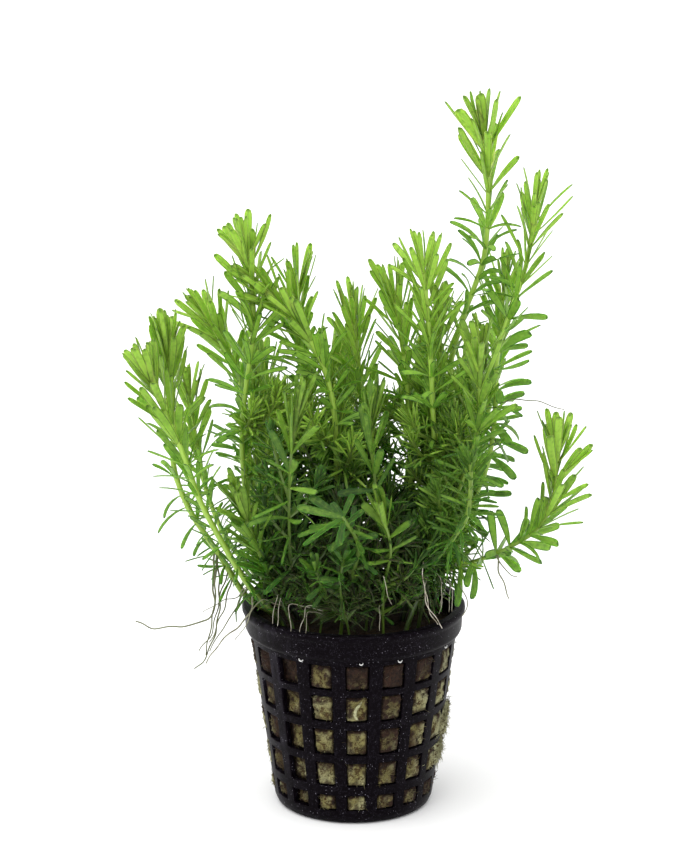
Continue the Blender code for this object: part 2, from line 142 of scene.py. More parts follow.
class Signal:
    """A shader socket that Python expressions can be written with."""

    def __init__(self, bench: "ShaderBench", socket: bpy.types.NodeSocket) -> None:
        """Wrap a node's output.

        Args:
            bench: The material that the node is in.
            socket: The output.
        """
        self.bench = bench
        self.socket = socket

    def _maths(self, operation: str, first: "Signal | float", second: "Signal | float" = 0.0) -> "Signal":
        """Return a Math node on two values."""
        return self.bench.node("ShaderNodeMath", {"operation": operation}, {0: first, 1: second})

    def __add__(self, other: "Signal | float") -> "Signal":
        """Return the sum."""
        return self._maths("ADD", self, other)

    def __radd__(self, other: float) -> "Signal":
        """Return the sum."""
        return self._maths("ADD", other, self)

    def __sub__(self, other: "Signal | float") -> "Signal":
        """Return the difference."""
        return self._maths("SUBTRACT", self, other)

    def __rsub__(self, other: float) -> "Signal":
        """Return the difference from a number."""
        return self._maths("SUBTRACT", other, self)

    def __mul__(self, other: "Signal | float") -> "Signal":
        """Return the product."""
        return self._maths("MULTIPLY", self, other)

    def __rmul__(self, other: float) -> "Signal":
        """Return the product."""
        return self._maths("MULTIPLY", other, self)

    def __abs__(self) -> "Signal":
        """Return the size without its sign."""
        return self._maths("ABSOLUTE", self)

    def between(self, low: float, high: float) -> "Signal":
        """Return 0 below low and 1 above high, with a smooth step from one to the other."""
        inputs = {"Value": self, "From Min": low, "From Max": high}
        return self.bench.node("ShaderNodeMapRange", {"interpolation_type": "SMOOTHSTEP"}, inputs)


class ShaderBench:
    """One material and the short ways to build its nodes."""

    MIX_SHARE = 0
    MIX_COLOURS = (6, 7)
    MIX_RESULT = 2

    def __init__(self, name: str) -> None:
        """Make a material with a Principled shader.

        Args:
            name: The material's name.
        """
        self.material = bpy.data.materials.new(name)
        self.material.use_nodes = True
        self.tree = self.material.node_tree
        self.shader = self.tree.nodes["Principled BSDF"]

    def node(
        self, kind: str, settings: dict | None = None, inputs: dict | None = None, output: int | str = 0
    ) -> Signal:
        """Add a node.

        Args:
            kind: The node's type.
            settings: Values of its own, such as an operation, which are set first.
            inputs: A value or a Signal for each of its sockets that needs one.
            output: The output wanted, by name or number.

        Returns:
            That output.
        """
        made = self.tree.nodes.new(kind)
        for name, value in (settings or {}).items():
            setattr(made, name, value)
        for name, value in (inputs or {}).items():
            self.feed(made.inputs[name], value)
        return Signal(self, made.outputs[output])

    def feed(self, socket: bpy.types.NodeSocket, value: object) -> None:
        """Give an input socket what it needs.

        Args:
            socket: The input.
            value: A Signal to link, or the value to set, which for a colour has three parts.
        """
        if isinstance(value, Signal):
            self.tree.links.new(value.socket, socket)
        elif isinstance(value, tuple) and len(value) == 3 and socket.type == "RGBA":
            socket.default_value = (*value, 1.0)
        else:
            socket.default_value = value

    def set(self, **inputs: object) -> None:
        """Feed the Principled shader.

        Args:
            inputs: A value or a Signal for each socket, by its name in small letters, with its
                words joined by underscores.
        """
        sockets = {socket.name.lower().replace(" ", "_"): socket for socket in self.shader.inputs}
        for name, value in inputs.items():
            self.feed(sockets[name], value)

    def mark(self, which: Mark) -> Signal:
        """Read one of the mesh's own marks."""
        return self.node("ShaderNodeAttribute", {"attribute_name": which.value}, output="Fac")

    def place(self) -> Signal:
        """Read the position in the object's own space, in metres."""
        return self.node("ShaderNodeTexCoord", output="Object")

    def stretched(self, place: Signal, by: Point) -> Signal:
        """Scale a position by a factor along each axis."""
        return self.node("ShaderNodeVectorMath", {"operation": "MULTIPLY"}, {0: place, 1: by})

    def noise(self, place: Signal, per_mm: float, detail: float = 3.0, roughness: float = 0.55) -> Signal:
        """Add a noise, in cycles for each millimetre."""
        inputs = {"Vector": place, "Scale": per_mm / MM, "Detail": detail, "Roughness": roughness}
        return self.node("ShaderNodeTexNoise", {}, inputs)

    def noise_colour(self, place: Signal, per_mm: float) -> Signal:
        """Add a noise whose output is a vector."""
        inputs = {"Vector": place, "Scale": per_mm / MM}
        return self.node("ShaderNodeTexNoise", {}, inputs, output="Color")

    def cells(self, place: Signal, per_mm: float) -> Signal:
        """Add a cell pattern's distance, with so many cells for each millimetre."""
        return self.node("ShaderNodeTexVoronoi", {}, {"Vector": place, "Scale": per_mm / MM})

    def blend(self, share: Signal | float, first: object, second: object) -> Signal:
        """Mix two colours by a share."""
        inputs = {self.MIX_SHARE: share, **dict(zip(self.MIX_COLOURS, (first, second)))}
        return self.node("ShaderNodeMix", {"data_type": "RGBA"}, inputs, self.MIX_RESULT)

    def bump(self, height: Signal, depth_mm: float, strength: float = 1.0) -> None:
        """Raise the shader's surface by a height of so many millimetres."""
        inputs = {"Height": height, "Distance": depth_mm * MM, "Strength": strength}
        self.set(normal=self.node("ShaderNodeBump", {}, inputs))


@dataclass(frozen=True)
class LeafTissue:
    """The blade of a leaf, yellow-green when young and deep green when old. Its tone carries painted
    shade deep in the clump, and a dark rim on its sides and tip is painted shade for leaves seen edge-on.

    Each strength is the share of a colour where its part of the leaf is plainest, and the
    sheen is how much light the skin throws back.
    """

    young: Colour = linear(154, 190, 72)
    grown: Colour = linear(116, 158, 58)
    old: Colour = linear(36, 68, 18)
    dead: Colour = linear(52, 44, 35)
    edge: Colour = linear(26, 58, 20)
    vein: Colour = linear(112, 158, 60)
    ageing: float = 0.45
    pale_blots: float = 0.36
    dark_blots: float = 0.3
    vein_strength: float = 0.2
    rim_shade_strength: float = 0.78
    old_rim_shade_strength: float = 0.15
    sheen: float = 0.17
    soft_depth_mm: float = 0.8
    veins_per_m: float = 900.0

    def material(self) -> bpy.types.Material:
        """Build the nodes.

        Returns:
            The leaf's material.
        """
        bench = ShaderBench("leaf_tissue")
        age = bench.mark(Mark.AGE)
        tone = bench.mark(Mark.TONE)
        across = abs(bench.mark(Mark.ACROSS))
        along = bench.mark(Mark.ALONG)
        body = bench.blend(age.between(0.0, 0.5), self.young, self.grown)
        body = bench.blend(age.between(0.3, 1.0) * self.ageing, body, self.old)
        # The tone carries painted shade deep in the clump: it pulls the leaf to the old and then the dead
        # colour.
        shade = bench.blend(tone.between(0.0, 0.7), body, self.old)
        shade = bench.blend(tone.between(0.55, 0.95), shade, self.dead)
        mottle = bench.noise(bench.place(), 0.9, 2.0)
        pale = mottle.between(0.5, 0.7) * (self.pale_blots - tone.between(0.1, 0.8) * 0.24)
        shade = bench.blend(pale, shade, self.young)
        shade = bench.blend((1.0 - mottle.between(0.3, 0.5)) * self.dark_blots, shade, self.old)
        shade = bench.blend((1.0 - across.between(0.0, 0.22)) * self.vein_strength, shade, self.vein)
        # Painted shade: a dark rim on the sides and tip, which darkens leaves seen edge-on.
        shaded_sides_and_tip = {0: across.between(0.58, 0.88), 1: along.between(0.9, 0.99)}
        rim = bench.node("ShaderNodeMath", {"operation": "MAXIMUM"}, shaded_sides_and_tip)
        rim = rim * (age.between(0.0, 0.4) * self.old_rim_shade_strength + self.rim_shade_strength)
        bench.set(base_color=bench.blend(rim, shade, self.edge), roughness=mottle * 0.2 + 0.42)
        bench.set(subsurface_weight=0.7, subsurface_scale=self.soft_depth_mm * MM)
        bench.set(subsurface_radius=(0.6, 0.9, 0.3), specular_ior_level=self.sheen)
        waves = {"Vector": bench.place(), "Scale": self.veins_per_m, "Distortion": 2.0}
        veins = bench.node("ShaderNodeTexWave", {}, waves)
        bench.bump(veins * 0.4 + mottle, 0.05, 0.5)
        return bench.material


@dataclass(frozen=True)
class StemSkin:
    """The smooth green skin of a stem, darker where its bark is old and where painted shade falls deep in
    the clump.
    """

    fresh: Colour = linear(158, 194, 72)
    old: Colour = linear(22, 30, 13)
    scar: Colour = linear(106, 142, 46)
    soft_depth_mm: float = 0.6

    def material(self) -> bpy.types.Material:
        """Build the nodes.

        Returns:
            The stem's material.
        """
        bench = ShaderBench("stem_skin")
        ribs = bench.noise(bench.stretched(bench.place(), (1.0, 1.0, 0.15)), 2.2, 3.0)
        skin = bench.blend(bench.mark(Mark.AGE), self.fresh, self.old)
        skin = bench.blend(ribs.between(0.5, 0.8) * 0.5, skin, self.scar)
        skin = bench.blend(bench.mark(Mark.TONE) * 0.7, skin, self.scar)
        bench.set(base_color=skin, roughness=ribs * 0.2 + 0.3)
        bench.set(subsurface_weight=0.15, subsurface_scale=self.soft_depth_mm * MM)
        bench.set(subsurface_radius=(0.6, 1.0, 0.3))
        bench.bump(ribs, 0.06, 0.6)
        return bench.material


@dataclass(frozen=True)
class RootSkin:
    """A thread of root: pale, or olive brown where its tone is high."""

    pale: Colour = linear(196, 190, 176)
    grey: Colour = linear(128, 118, 98)
    olive: Colour = linear(92, 98, 58)
    knot: Colour = linear(54, 56, 34)

    def material(self) -> bpy.types.Material:
        """Build the nodes.

        Returns:
            The root's material.
        """
        bench = ShaderBench("root_skin")
        stain = bench.noise(bench.place(), 0.7, 3.0)
        light = bench.blend(stain.between(0.35, 0.7), self.pale, self.grey)
        dark = bench.blend(stain.between(0.5, 0.75), self.olive, self.knot)
        bench.set(base_color=bench.blend(bench.mark(Mark.TONE), light, dark), roughness=0.55)
        bench.bump(stain, 0.05, 0.4)
        return bench.material


@dataclass(frozen=True)
class PotPlastic:
    """Black moulded plastic, satin, with dust and fine scuffs, and a grey haze on its left side that is
    partly dust and partly a painted sheen.
    """

    black: Colour = linear(5, 2, 5)
    worn: Colour = linear(13, 9, 14)
    dust: Colour = linear(58, 54, 64)
    speck: Colour = linear(164, 160, 172)
    sheen_haze_edge_mm: tuple[float, float] = (-20.0, -11.0)
    sheen: float = 0.03

    def material(self) -> bpy.types.Material:
        """Build the nodes.

        Returns:
            The plastic's material.
        """
        bench = ShaderBench("pot_plastic")
        place = bench.place()
        cloud = bench.noise(place, 0.25, 4.0)
        grain = bench.noise(place, 3.5, 3.0, 0.65)
        sideways = bench.node("ShaderNodeSeparateXYZ", {}, {0: place}, "X")
        # Grey haze on the left side: partly dust, partly a painted sheen.
        left = 1.0 - sideways.between(*(edge * MM for edge in self.sheen_haze_edge_mm))
        dust_and_sheen_haze = left * bench.noise(bench.stretched(place, (1.0, 1.0, 0.4)), 0.35, 4.0).between(0.45, 0.7)
        grains = 1.0 - bench.cells(place, 4.2).between(0.2, 0.4)
        powder = grains * bench.noise(place, 1.4, 2.0).between(0.42, 0.6)
        specks = 1.0 - bench.cells(place, 1.6).between(0.08, 0.16)
        motes = specks * bench.noise(place, 0.5, 3.0).between(0.46, 0.6)
        colour = bench.blend(cloud.between(0.4, 0.75) * grain, self.black, self.worn)
        colour = bench.blend(powder * 0.6 + dust_and_sheen_haze * 0.3, colour, self.dust)
        colour = bench.blend(motes * 0.85, colour, self.speck)
        fine = powder + motes
        bench.set(base_color=colour, roughness=grain * 0.25 + 0.28, specular_ior_level=self.sheen)
        bench.bump(grain + fine * 0.5, 0.04, 0.35)
        return bench.material


@dataclass(frozen=True)
class PaintedGlint:
    """Painted highlights: the white glossy crescents under the collar that stand for glints of light."""

    white: Colour = linear(232, 232, 228)
    grey: Colour = linear(176, 176, 174)

    def material(self) -> bpy.types.Material:
        """Build the nodes.

        Returns:
            The pips' material.
        """
        bench = ShaderBench("bright_pip")
        cloud = bench.noise(bench.place(), 1.5, 2.0)
        bench.set(base_color=bench.blend(cloud, self.white, self.grey), roughness=cloud * 0.1 + 0.12)
        bench.bump(cloud, 0.02, 0.3)
        return bench.material


@dataclass(frozen=True)
class WoolFibre:
    """Matted mineral fibre, khaki, stained brown, and nearly black where it is wettest and where shade is
    painted round the holes.

    The mesh's age says how wet it is, together with the painted shade round the holes, and its tone how
    pale.
    """

    khaki: Colour = linear(136, 129, 80)
    pale: Colour = linear(190, 190, 148)
    brown: Colour = linear(70, 52, 26)
    rust: Colour = linear(64, 42, 30)
    dark: Colour = linear(20, 13, 10)
    sway_mm: float = 1.6
    relief_mm: float = 0.35

    def material(self) -> bpy.types.Material:
        """Build the nodes.

        Returns:
            The wool's material.
        """
        bench = ShaderBench("wool_fibre")
        place = bench.place()
        sway = {0: bench.noise_colour(place, 0.5), 1: (self.sway_mm * MM,) * 3, 2: place}
        bent = bench.node("ShaderNodeVectorMath", {"operation": "MULTIPLY_ADD"}, sway)
        coarse = bench.noise(bent, 0.5, 4.0, 0.6).between(0.38, 0.6)
        upright = bench.noise(bench.stretched(bent, (1.0, 1.0, 0.45)), 2.2, 4.0, 0.75)
        level = bench.noise(bench.stretched(bent, (0.45, 0.45, 1.0)), 2.8, 4.0, 0.75)
        mat = coarse * 0.36 + upright.between(0.4, 0.6) * 0.32 + level.between(0.4, 0.6) * 0.32
        patches = bench.noise(place, 0.22, 3.0)
        colour = bench.blend(mat.between(0.24, 0.66), self.brown, self.khaki)
        stained = bench.blend(mat, self.rust, self.brown)
        colour = bench.blend(patches.between(0.5, 0.66) * 0.85, colour, stained)
        colour = bench.blend(bench.mark(Mark.TONE) * mat.between(0.2, 0.62), colour, self.pale)
        # The age mark darkens the wool for wetness and for the painted shade round each hole.
        colour = bench.blend(bench.mark(Mark.AGE), colour, bench.blend(mat * 0.85, self.dark, self.rust))
        bench.set(base_color=colour, roughness=0.85, specular_ior_level=0.2)
        bench.bump(mat, self.relief_mm, 1.0)
        return bench.material


@dataclass(frozen=True)
class StudioPaper:
    """The plain white surface that the pot stands on."""

    white: Colour = (0.93, 0.93, 0.93)
    grey: Colour = (0.9, 0.9, 0.91)

    def material(self) -> bpy.types.Material:
        """Build the nodes.

        Returns:
            The paper's material.
        """
        bench = ShaderBench("studio_paper")
        fibre = bench.noise(bench.place(), 0.02, 2.0)
        bench.set(base_color=bench.blend(fibre * 0.03, self.white, self.grey), roughness=0.9)
        return bench.material


class MeshDraft:
    """Points, faces and marks that are gathered before they become one mesh."""

    def __init__(self) -> None:
        """Start with nothing."""
        self.points: list[Array] = []
        self.marks: list[Array] = []
        self.faces: list[Face] = []
        self.finishes: list[int] = []
        self.count = 0

    def add(self, points: Array, faces: Sequence[Sequence[int]], finish: int, marks: Array) -> None:
        """Add one closed form.

        Args:
            points: Its points, in millimetres.
            faces: Its faces, by the numbers of its own points, anticlockwise from outside.
            finish: The number of its material.
            marks: A row for each point, in the order of the Mark names.
        """
        start = self.count
        self.points.append(points)
        self.marks.append(marks)
        self.faces += [tuple(start + index for index in face) for face in faces]
        self.finishes += [finish] * len(faces)
        self.count += len(points)

    def build(
        self, name: str, materials: Sequence[bpy.types.Material], sharp_deg: float = 180.0
    ) -> bpy.types.Object:
        """Make the mesh object.

        Args:
            name: The piece's name.
            materials: Its materials, by number.
            sharp_deg: The angle from which an edge is sharp.

        Returns:
            The object.
        """
        mesh = bpy.data.meshes.new(name)
        mesh.from_pydata((np.vstack(self.points) * MM).tolist(), [], self.faces)
        for material in materials:
            mesh.materials.append(material)
        mesh.polygons.foreach_set("material_index", self.finishes)
        rows = np.vstack(self.marks)
        for column, mark in enumerate(Mark):
            layer = mesh.attributes.new(mark.value, "FLOAT", "POINT")
            layer.data.foreach_set("value", np.ascontiguousarray(rows[:, column], np.float32))
        mesh.shade_smooth()
        if sharp_deg < 180.0:
            mesh.set_sharp_from_angle(angle=math.radians(sharp_deg))
        obj = bpy.data.objects.new(name, mesh)
        bpy.context.scene.collection.objects.link(obj)
        return obj


def unit(vector: Array) -> Array:
    """Return a vector at length 1."""
    return vector / np.linalg.norm(vector)


def side_faces(rings: int, sides: int) -> list[Face]:
    """Return the faces between rings of points that follow one another.

    Args:
        rings: How many rings.
        sides: How many points each ring has.

    Returns:
        The faces, ring by ring, anticlockwise from outside.
    """
    faces = []
    for low in range(0, (rings - 1) * sides, sides):
        for side in range(sides):
            after = (side + 1) % sides
            faces.append((low + side, low + after, low + sides + after, low + sides + side))
    return faces


def closed_faces(rings: int, sides: int) -> list[Face]:
    """Return the faces of a form made of rings of points, with a lid on each end."""
    last = (rings - 1) * sides
    return [tuple(reversed(range(sides))), tuple(range(last, last + sides)), *side_faces(rings, sides)]


def tube(path: Array, radii: Array, sides: int) -> tuple[Array, list[Face]]:
    """Return the points and faces of a closed round tube.

    Args:
        path: The points that its middle runs through.
        radii: Its radius at each point.
        sides: How many flats it has round it.

    Returns:
        Its points, ring after ring, and its faces.
    """
    steps = np.gradient(path, axis=0)
    directions = steps / np.linalg.norm(steps, axis=1, keepdims=True)
    start = np.array((0.0, 1.0, 0.0)) if abs(directions[0][1]) < 0.9 else np.array((1.0, 0.0, 0.0))
    rings = []
    across = unit(np.cross(directions[0], start))
    angles = math.tau * np.arange(sides) / sides
    for centre, direction, radius in zip(path, directions, radii):
        across = unit(across - direction * np.dot(across, direction))
        ahead = np.cross(direction, across)
        rings.append(centre + radius * (np.outer(np.cos(angles), across) + np.outer(np.sin(angles), ahead)))
    return np.vstack(rings), closed_faces(len(path), sides)


class Route:
    """A smooth curve through points, read by the distance along it."""

    STEPS = 12

    def __init__(self, points: Sequence[Sequence[float]]) -> None:
        """Lay the curve.

        Args:
            points: The points that it runs through, in order.
        """
        given = np.array(points, float)
        padded = np.vstack([2 * given[0] - given[1], given, 2 * given[-1] - given[-2]])
        share = np.linspace(0.0, 1.0, self.STEPS, endpoint=False)[:, None]
        runs = []
        for before, start, end, after in zip(padded, padded[1:], padded[2:], padded[3:]):
            runs.append(
                0.5 * (
                    2 * start
                    + (end - before) * share
                    + (2 * before - 5 * start + 4 * end - after) * share**2
                    + (3 * start - before - 3 * end + after) * share**3
                )
            )
        self.points = np.vstack([*runs, given[-1:]])
        steps = np.linalg.norm(np.diff(self.points, axis=0), axis=1)
        self.distances = np.concatenate([[0.0], np.cumsum(steps)])
        self.length = float(self.distances[-1])

    def at(self, distance: float | Array) -> Array:
        """Return the point, or one point for each, at a distance from the start."""
        return np.stack([np.interp(distance, self.distances, way) for way in self.points.T], axis=-1)

    def direction(self, distance: float) -> Array:
        """Return the unit direction at a distance from the start."""
        return unit(self.at(distance + 0.5) - self.at(distance - 0.5))

    def distance_at_height(self, height: float) -> float:
        """Return the distance at which the curve first reaches a height."""
        return float(self.distances[np.argmax(self.points[:, 2] >= height)])


@dataclass(frozen=True)
class LeafBlade:
    """The form of one leaf: a thin blade, narrow at its foot and blunt at its tip.

    Lengths along the blade are shares of the leaf, and half widths are shares of the
    widest.
    """

    stations: tuple[float, ...] = (0.0, 0.13, 0.32, 0.54, 0.74, 0.89, 0.97)
    half_widths: tuple[float, ...] = (0.4, 0.6, 0.82, 0.95, 1.0, 0.94, 0.64)
    thickness: float = 0.36
    fold: float = 0.07

    def faces(self) -> list[Face]:
        """Join four points a section and one at the tip.

        Returns:
            The faces of a blade.
        """
        sections = len(self.stations)
        last = 4 * (sections - 1)
        foot = tuple(reversed(range(4)))
        tip = [(last + corner, last + (corner + 1) % 4, 4 * sections) for corner in range(4)]
        return [foot, *side_faces(sections, 4), *tip]

    def marks(self, tone: float, age: float) -> Array:
        """Return the marks of a blade's points.

        Args:
            tone: How dark this leaf is, from 0 to 1.
            age: How old it is, from 0 to 1.

        Returns:
            A row for each point.
        """
        along = np.append(np.repeat(self.stations, 4), 1.0)
        across = np.append(np.tile((1.0, 0.0, -1.0, 0.0), len(self.stations)), 0.0)
        return np.column_stack([along, across, np.full(len(along), tone), np.full(len(along), age)])

    def points(self, foot: Array, along: Array, outward: Array, growth: "LeafGrowth") -> Array:
        """Place a blade.

        Args:
            foot: Where it leaves its stem.
            along: The stem's direction there.
            outward: The direction away from the stem.
            growth: The leaf's own size and pose.

        Returns:
            Its points, in millimetres.
        """
        shares = np.append(np.array(self.stations), 1.0)
        leans = np.radians(growth.lean_deg + growth.bend_deg * shares**1.3)
        steps = np.diff(shares, prepend=0.0)[:, None] * growth.length
        directions = np.cos(leans)[:, None] * along + np.sin(leans)[:, None] * outward
        side = unit(np.cross(along, outward))
        middle = foot + np.cumsum(steps * directions, axis=0)
        middle += side * (growth.sway * growth.length * shares**2)[:, None]
        normals = np.cross(directions, side)
        twist = np.radians(growth.twist_deg) * np.minimum(1.0, 0.4 + shares)[:, None]
        wide = np.cos(twist) * side + np.sin(twist) * normals
        upper = np.cross(directions, wide)
        half = np.array(self.half_widths)[:, None] * growth.width / 2
        core, edge, up = middle[:-1], wide[:-1] * half, upper[:-1]
        thick = self.thickness / 2 * np.maximum(half / (growth.width / 2), 0.5)
        lift = up * (self.fold * growth.width)
        corners = [core + edge + lift, core + up * thick, core - edge + lift, core - up * thick]
        rings = np.stack(corners, axis=1)
        return np.vstack([rings.reshape(-1, 3), middle[-1:]])


@dataclass(frozen=True)
class LeafGrowth:
    """The size and pose of one leaf. Lengths are in millimetres."""

    length: float
    width: float
    lean_deg: float
    bend_deg: float
    twist_deg: float
    sway: float


FINE_BLADE = LeafBlade()
PLAIN_BLADE = LeafBlade(stations=(0.0, 0.3, 0.7, 0.94), half_widths=(0.5, 0.9, 1.0, 0.6))
Steps = tuple[tuple[float, float], ...]


@dataclass(frozen=True)
class Habit:
    """How leaves change down a stem.

    Each table goes by the distance below the stem's end, in millimetres. gaps are the
    distances between the whorls of the crown, and later_gap is the distance below them.
    """

    lean_deg: Steps
    bend_deg: Steps
    length: Steps
    width: Steps
    leaves: Steps
    gaps: tuple[float, ...]
    later_gap: float

    def at(self, table: Steps, below: float) -> float:
        """Read a table at a distance below the end."""
        places, values = zip(*table)
        return float(np.interp(below, places, values))


CROWNED = Habit(
    lean_deg=(
        (0.0, 11.0), (1.3, 20.0), (3.2, 26.0), (6.0, 28.0), (12.0, 29.0), (19.0, 33.0), (25.0, 44.0),
        (32.0, 60.0), (42.0, 76.0), (60.0, 84.0),
    ),
    bend_deg=((0.0, -4.0), (8.0, -1.0), (16.0, 6.0), (24.0, 12.0), (34.0, 20.0), (50.0, 26.0)),
    length=(
        (0.0, 9.2), (1.3, 10.8), (3.2, 12.4), (6.0, 13.0), (12.0, 12.4), (20.0, 11.2), (28.0, 9.8),
        (40.0, 8.6), (75.0, 7.6),
    ),
    width=((0.0, 1.5), (1.3, 1.85), (5.0, 2.1), (20.0, 1.9), (28.0, 1.3), (38.0, 1.0), (75.0, 0.85)),
    leaves=((0.0, 4.2), (1.3, 4.6), (8.0, 4.8), (20.0, 5.4), (32.0, 7.0), (60.0, 7.6)),
    gaps=(1.3, 1.9, 2.5, 3.0, 3.3),
    later_gap=3.4,
)
OPENED = Habit(
    lean_deg=(
        (0.0, 12.0), (1.3, 21.0), (3.2, 27.0), (6.0, 26.0), (10.0, 27.0), (14.0, 38.0), (19.0, 46.0),
        (26.0, 54.0), (36.0, 66.0), (50.0, 76.0),
    ),
    bend_deg=((0.0, -4.0), (8.0, 0.0), (13.0, 8.0), (18.0, 18.0), (24.0, 36.0), (34.0, 46.0), (50.0, 46.0)),
    length=(
        (0.0, 10.2), (1.3, 11.6), (3.2, 14.2), (6.0, 15.2), (10.0, 13.4), (14.0, 10.6), (30.0, 9.4),
        (75.0, 8.0),
    ),
    width=(
        (0.0, 1.6), (1.3, 2.0), (5.0, 2.3), (10.0, 2.1), (15.0, 1.75), (30.0, 1.55), (45.0, 1.2),
        (75.0, 0.9),
    ),
    leaves=((0.0, 3.6), (1.3, 4.2), (5.0, 4.4), (20.0, 5.2), (60.0, 6.4)),
    gaps=(1.3, 2.0, 2.8, 3.4, 3.8),
    later_gap=4.2,
)
BROOM = Habit(
    lean_deg=(
        (0.0, 5.0), (1.3, 10.0), (4.0, 15.0), (8.0, 18.0), (12.0, 24.0), (15.0, 42.0), (19.0, 66.0),
        (26.0, 80.0), (60.0, 86.0),
    ),
    bend_deg=((0.0, -3.0), (10.0, 2.0), (16.0, 8.0), (60.0, 14.0)),
    length=((0.0, 9.6), (2.0, 11.6), (6.0, 12.6), (12.0, 12.0), (16.0, 9.6), (60.0, 8.6)),
    width=((0.0, 1.1), (3.0, 1.5), (10.0, 1.7), (18.0, 1.7), (30.0, 1.4), (60.0, 1.1)),
    leaves=((0.0, 4.0), (3.0, 4.6), (12.0, 4.6), (15.0, 3.0), (60.0, 3.4)),
    gaps=(1.3, 2.4, 3.0, 3.4),
    later_gap=4.6,
)
ROSETTE = Habit(
    lean_deg=((0.0, 74.0), (1.0, 76.0), (2.5, 80.0), (5.0, 80.0), (9.0, 82.0), (70.0, 90.0)),
    bend_deg=((0.0, 6.0), (10.0, 10.0), (50.0, 16.0)),
    length=((0.0, 9.4), (2.5, 9.4), (5.0, 7.0), (9.0, 6.0), (75.0, 5.6)),
    width=((0.0, 2.05), (4.0, 2.05), (8.0, 1.2), (75.0, 1.0)),
    leaves=((0.0, 3.0), (2.0, 3.0), (10.0, 4.0), (60.0, 5.0)),
    gaps=(1.2, 1.8, 3.4),
    later_gap=4.0,
)
SPRIG = Habit(
    lean_deg=((0.0, 10.0), (2.0, 26.0), (5.0, 42.0), (9.0, 58.0), (16.0, 74.0), (30.0, 84.0)),
    bend_deg=((0.0, 4.0), (6.0, 16.0), (20.0, 36.0)),
    length=((0.0, 4.0), (2.0, 6.2), (6.0, 7.4), (16.0, 7.2), (30.0, 6.4)),
    width=((0.0, 0.7), (2.0, 1.0), (8.0, 0.92), (30.0, 0.75)),
    leaves=((0.0, 4.0), (2.0, 5.0), (30.0, 6.4)),
    gaps=(1.0, 1.5, 2.0),
    later_gap=2.3,
)
TUFT = Habit(
    lean_deg=((0.0, 3.0), (1.3, 12.0), (3.5, 21.0), (6.0, 34.0), (9.0, 62.0), (14.0, 82.0), (60.0, 88.0)),
    bend_deg=((0.0, -3.0), (6.0, 2.0), (60.0, 10.0)),
    length=((0.0, 8.6), (1.5, 9.8), (4.0, 9.8), (7.0, 7.4), (10.0, 7.2), (60.0, 6.6)),
    width=((0.0, 1.5), (2.0, 2.0), (5.0, 2.0), (9.0, 1.15), (60.0, 1.0)),
    leaves=((0.0, 3.0), (1.3, 3.6), (5.0, 3.4), (9.0, 3.2), (60.0, 3.6)),
    gaps=(1.3, 2.2, 3.2),
    later_gap=3.8,
)
BUD = Habit(
    lean_deg=((0.0, 16.0), (1.0, 32.0), (2.5, 48.0), (6.0, 66.0), (12.0, 84.0), (60.0, 90.0)),
    bend_deg=((0.0, 0.0), (60.0, 10.0)),
    length=((0.0, 4.6), (1.0, 5.6), (3.0, 5.8), (10.0, 5.0), (60.0, 5.0)),
    width=((0.0, 1.2), (1.0, 1.5), (4.0, 1.5), (60.0, 1.2)),
    leaves=((0.0, 3.0), (1.0, 4.4), (4.0, 3.4), (60.0, 2.6)),
    gaps=(0.9, 1.4, 2.2),
    later_gap=3.0,
)


@dataclass(frozen=True)
class ShootPlan:
    """Where and how one shoot grows.

    foot is where its stem enters the wool, and route runs on from there to the leaf tips of
    its crown. vigour scales the whole shoot's leaves and stem. spread scales the angle at
    which the leaves stand off, and shade is how dark they are, from 0 to 1. sprigs is how
    many side shoots grow on the lower half, and pace scales the distances between the
    whorls. crown scales the width of the crown's leaves, and breadth that of the leaves
    below it. bark is how thin and dark the stem is, from 0 to 1, and slender scales its
    width. shade_reach scales how far the painted shade of the clump's heart reaches the leaves
    and the stem, and bare is the share of the leaves below the crown that have fallen. fan
    gives the first leaves from the end: each one's turn round the stem, in degrees, and its
    length as a share.
    """

    name: str
    foot: tuple[float, float]
    route: tuple[Point, ...]
    habit: Habit = CROWNED
    vigour: float = 1.0
    spread: float = 1.0
    shade: float = 0.2
    sprigs: int = 15
    pace: float = 1.0
    breadth: float = 1.0
    bark: float = 0.0
    shade_reach: float = 1.0
    slender: float = 1.0
    bare: float = 0.0
    crown: float = 1.0
    fan: tuple[tuple[float, float], ...] = ()


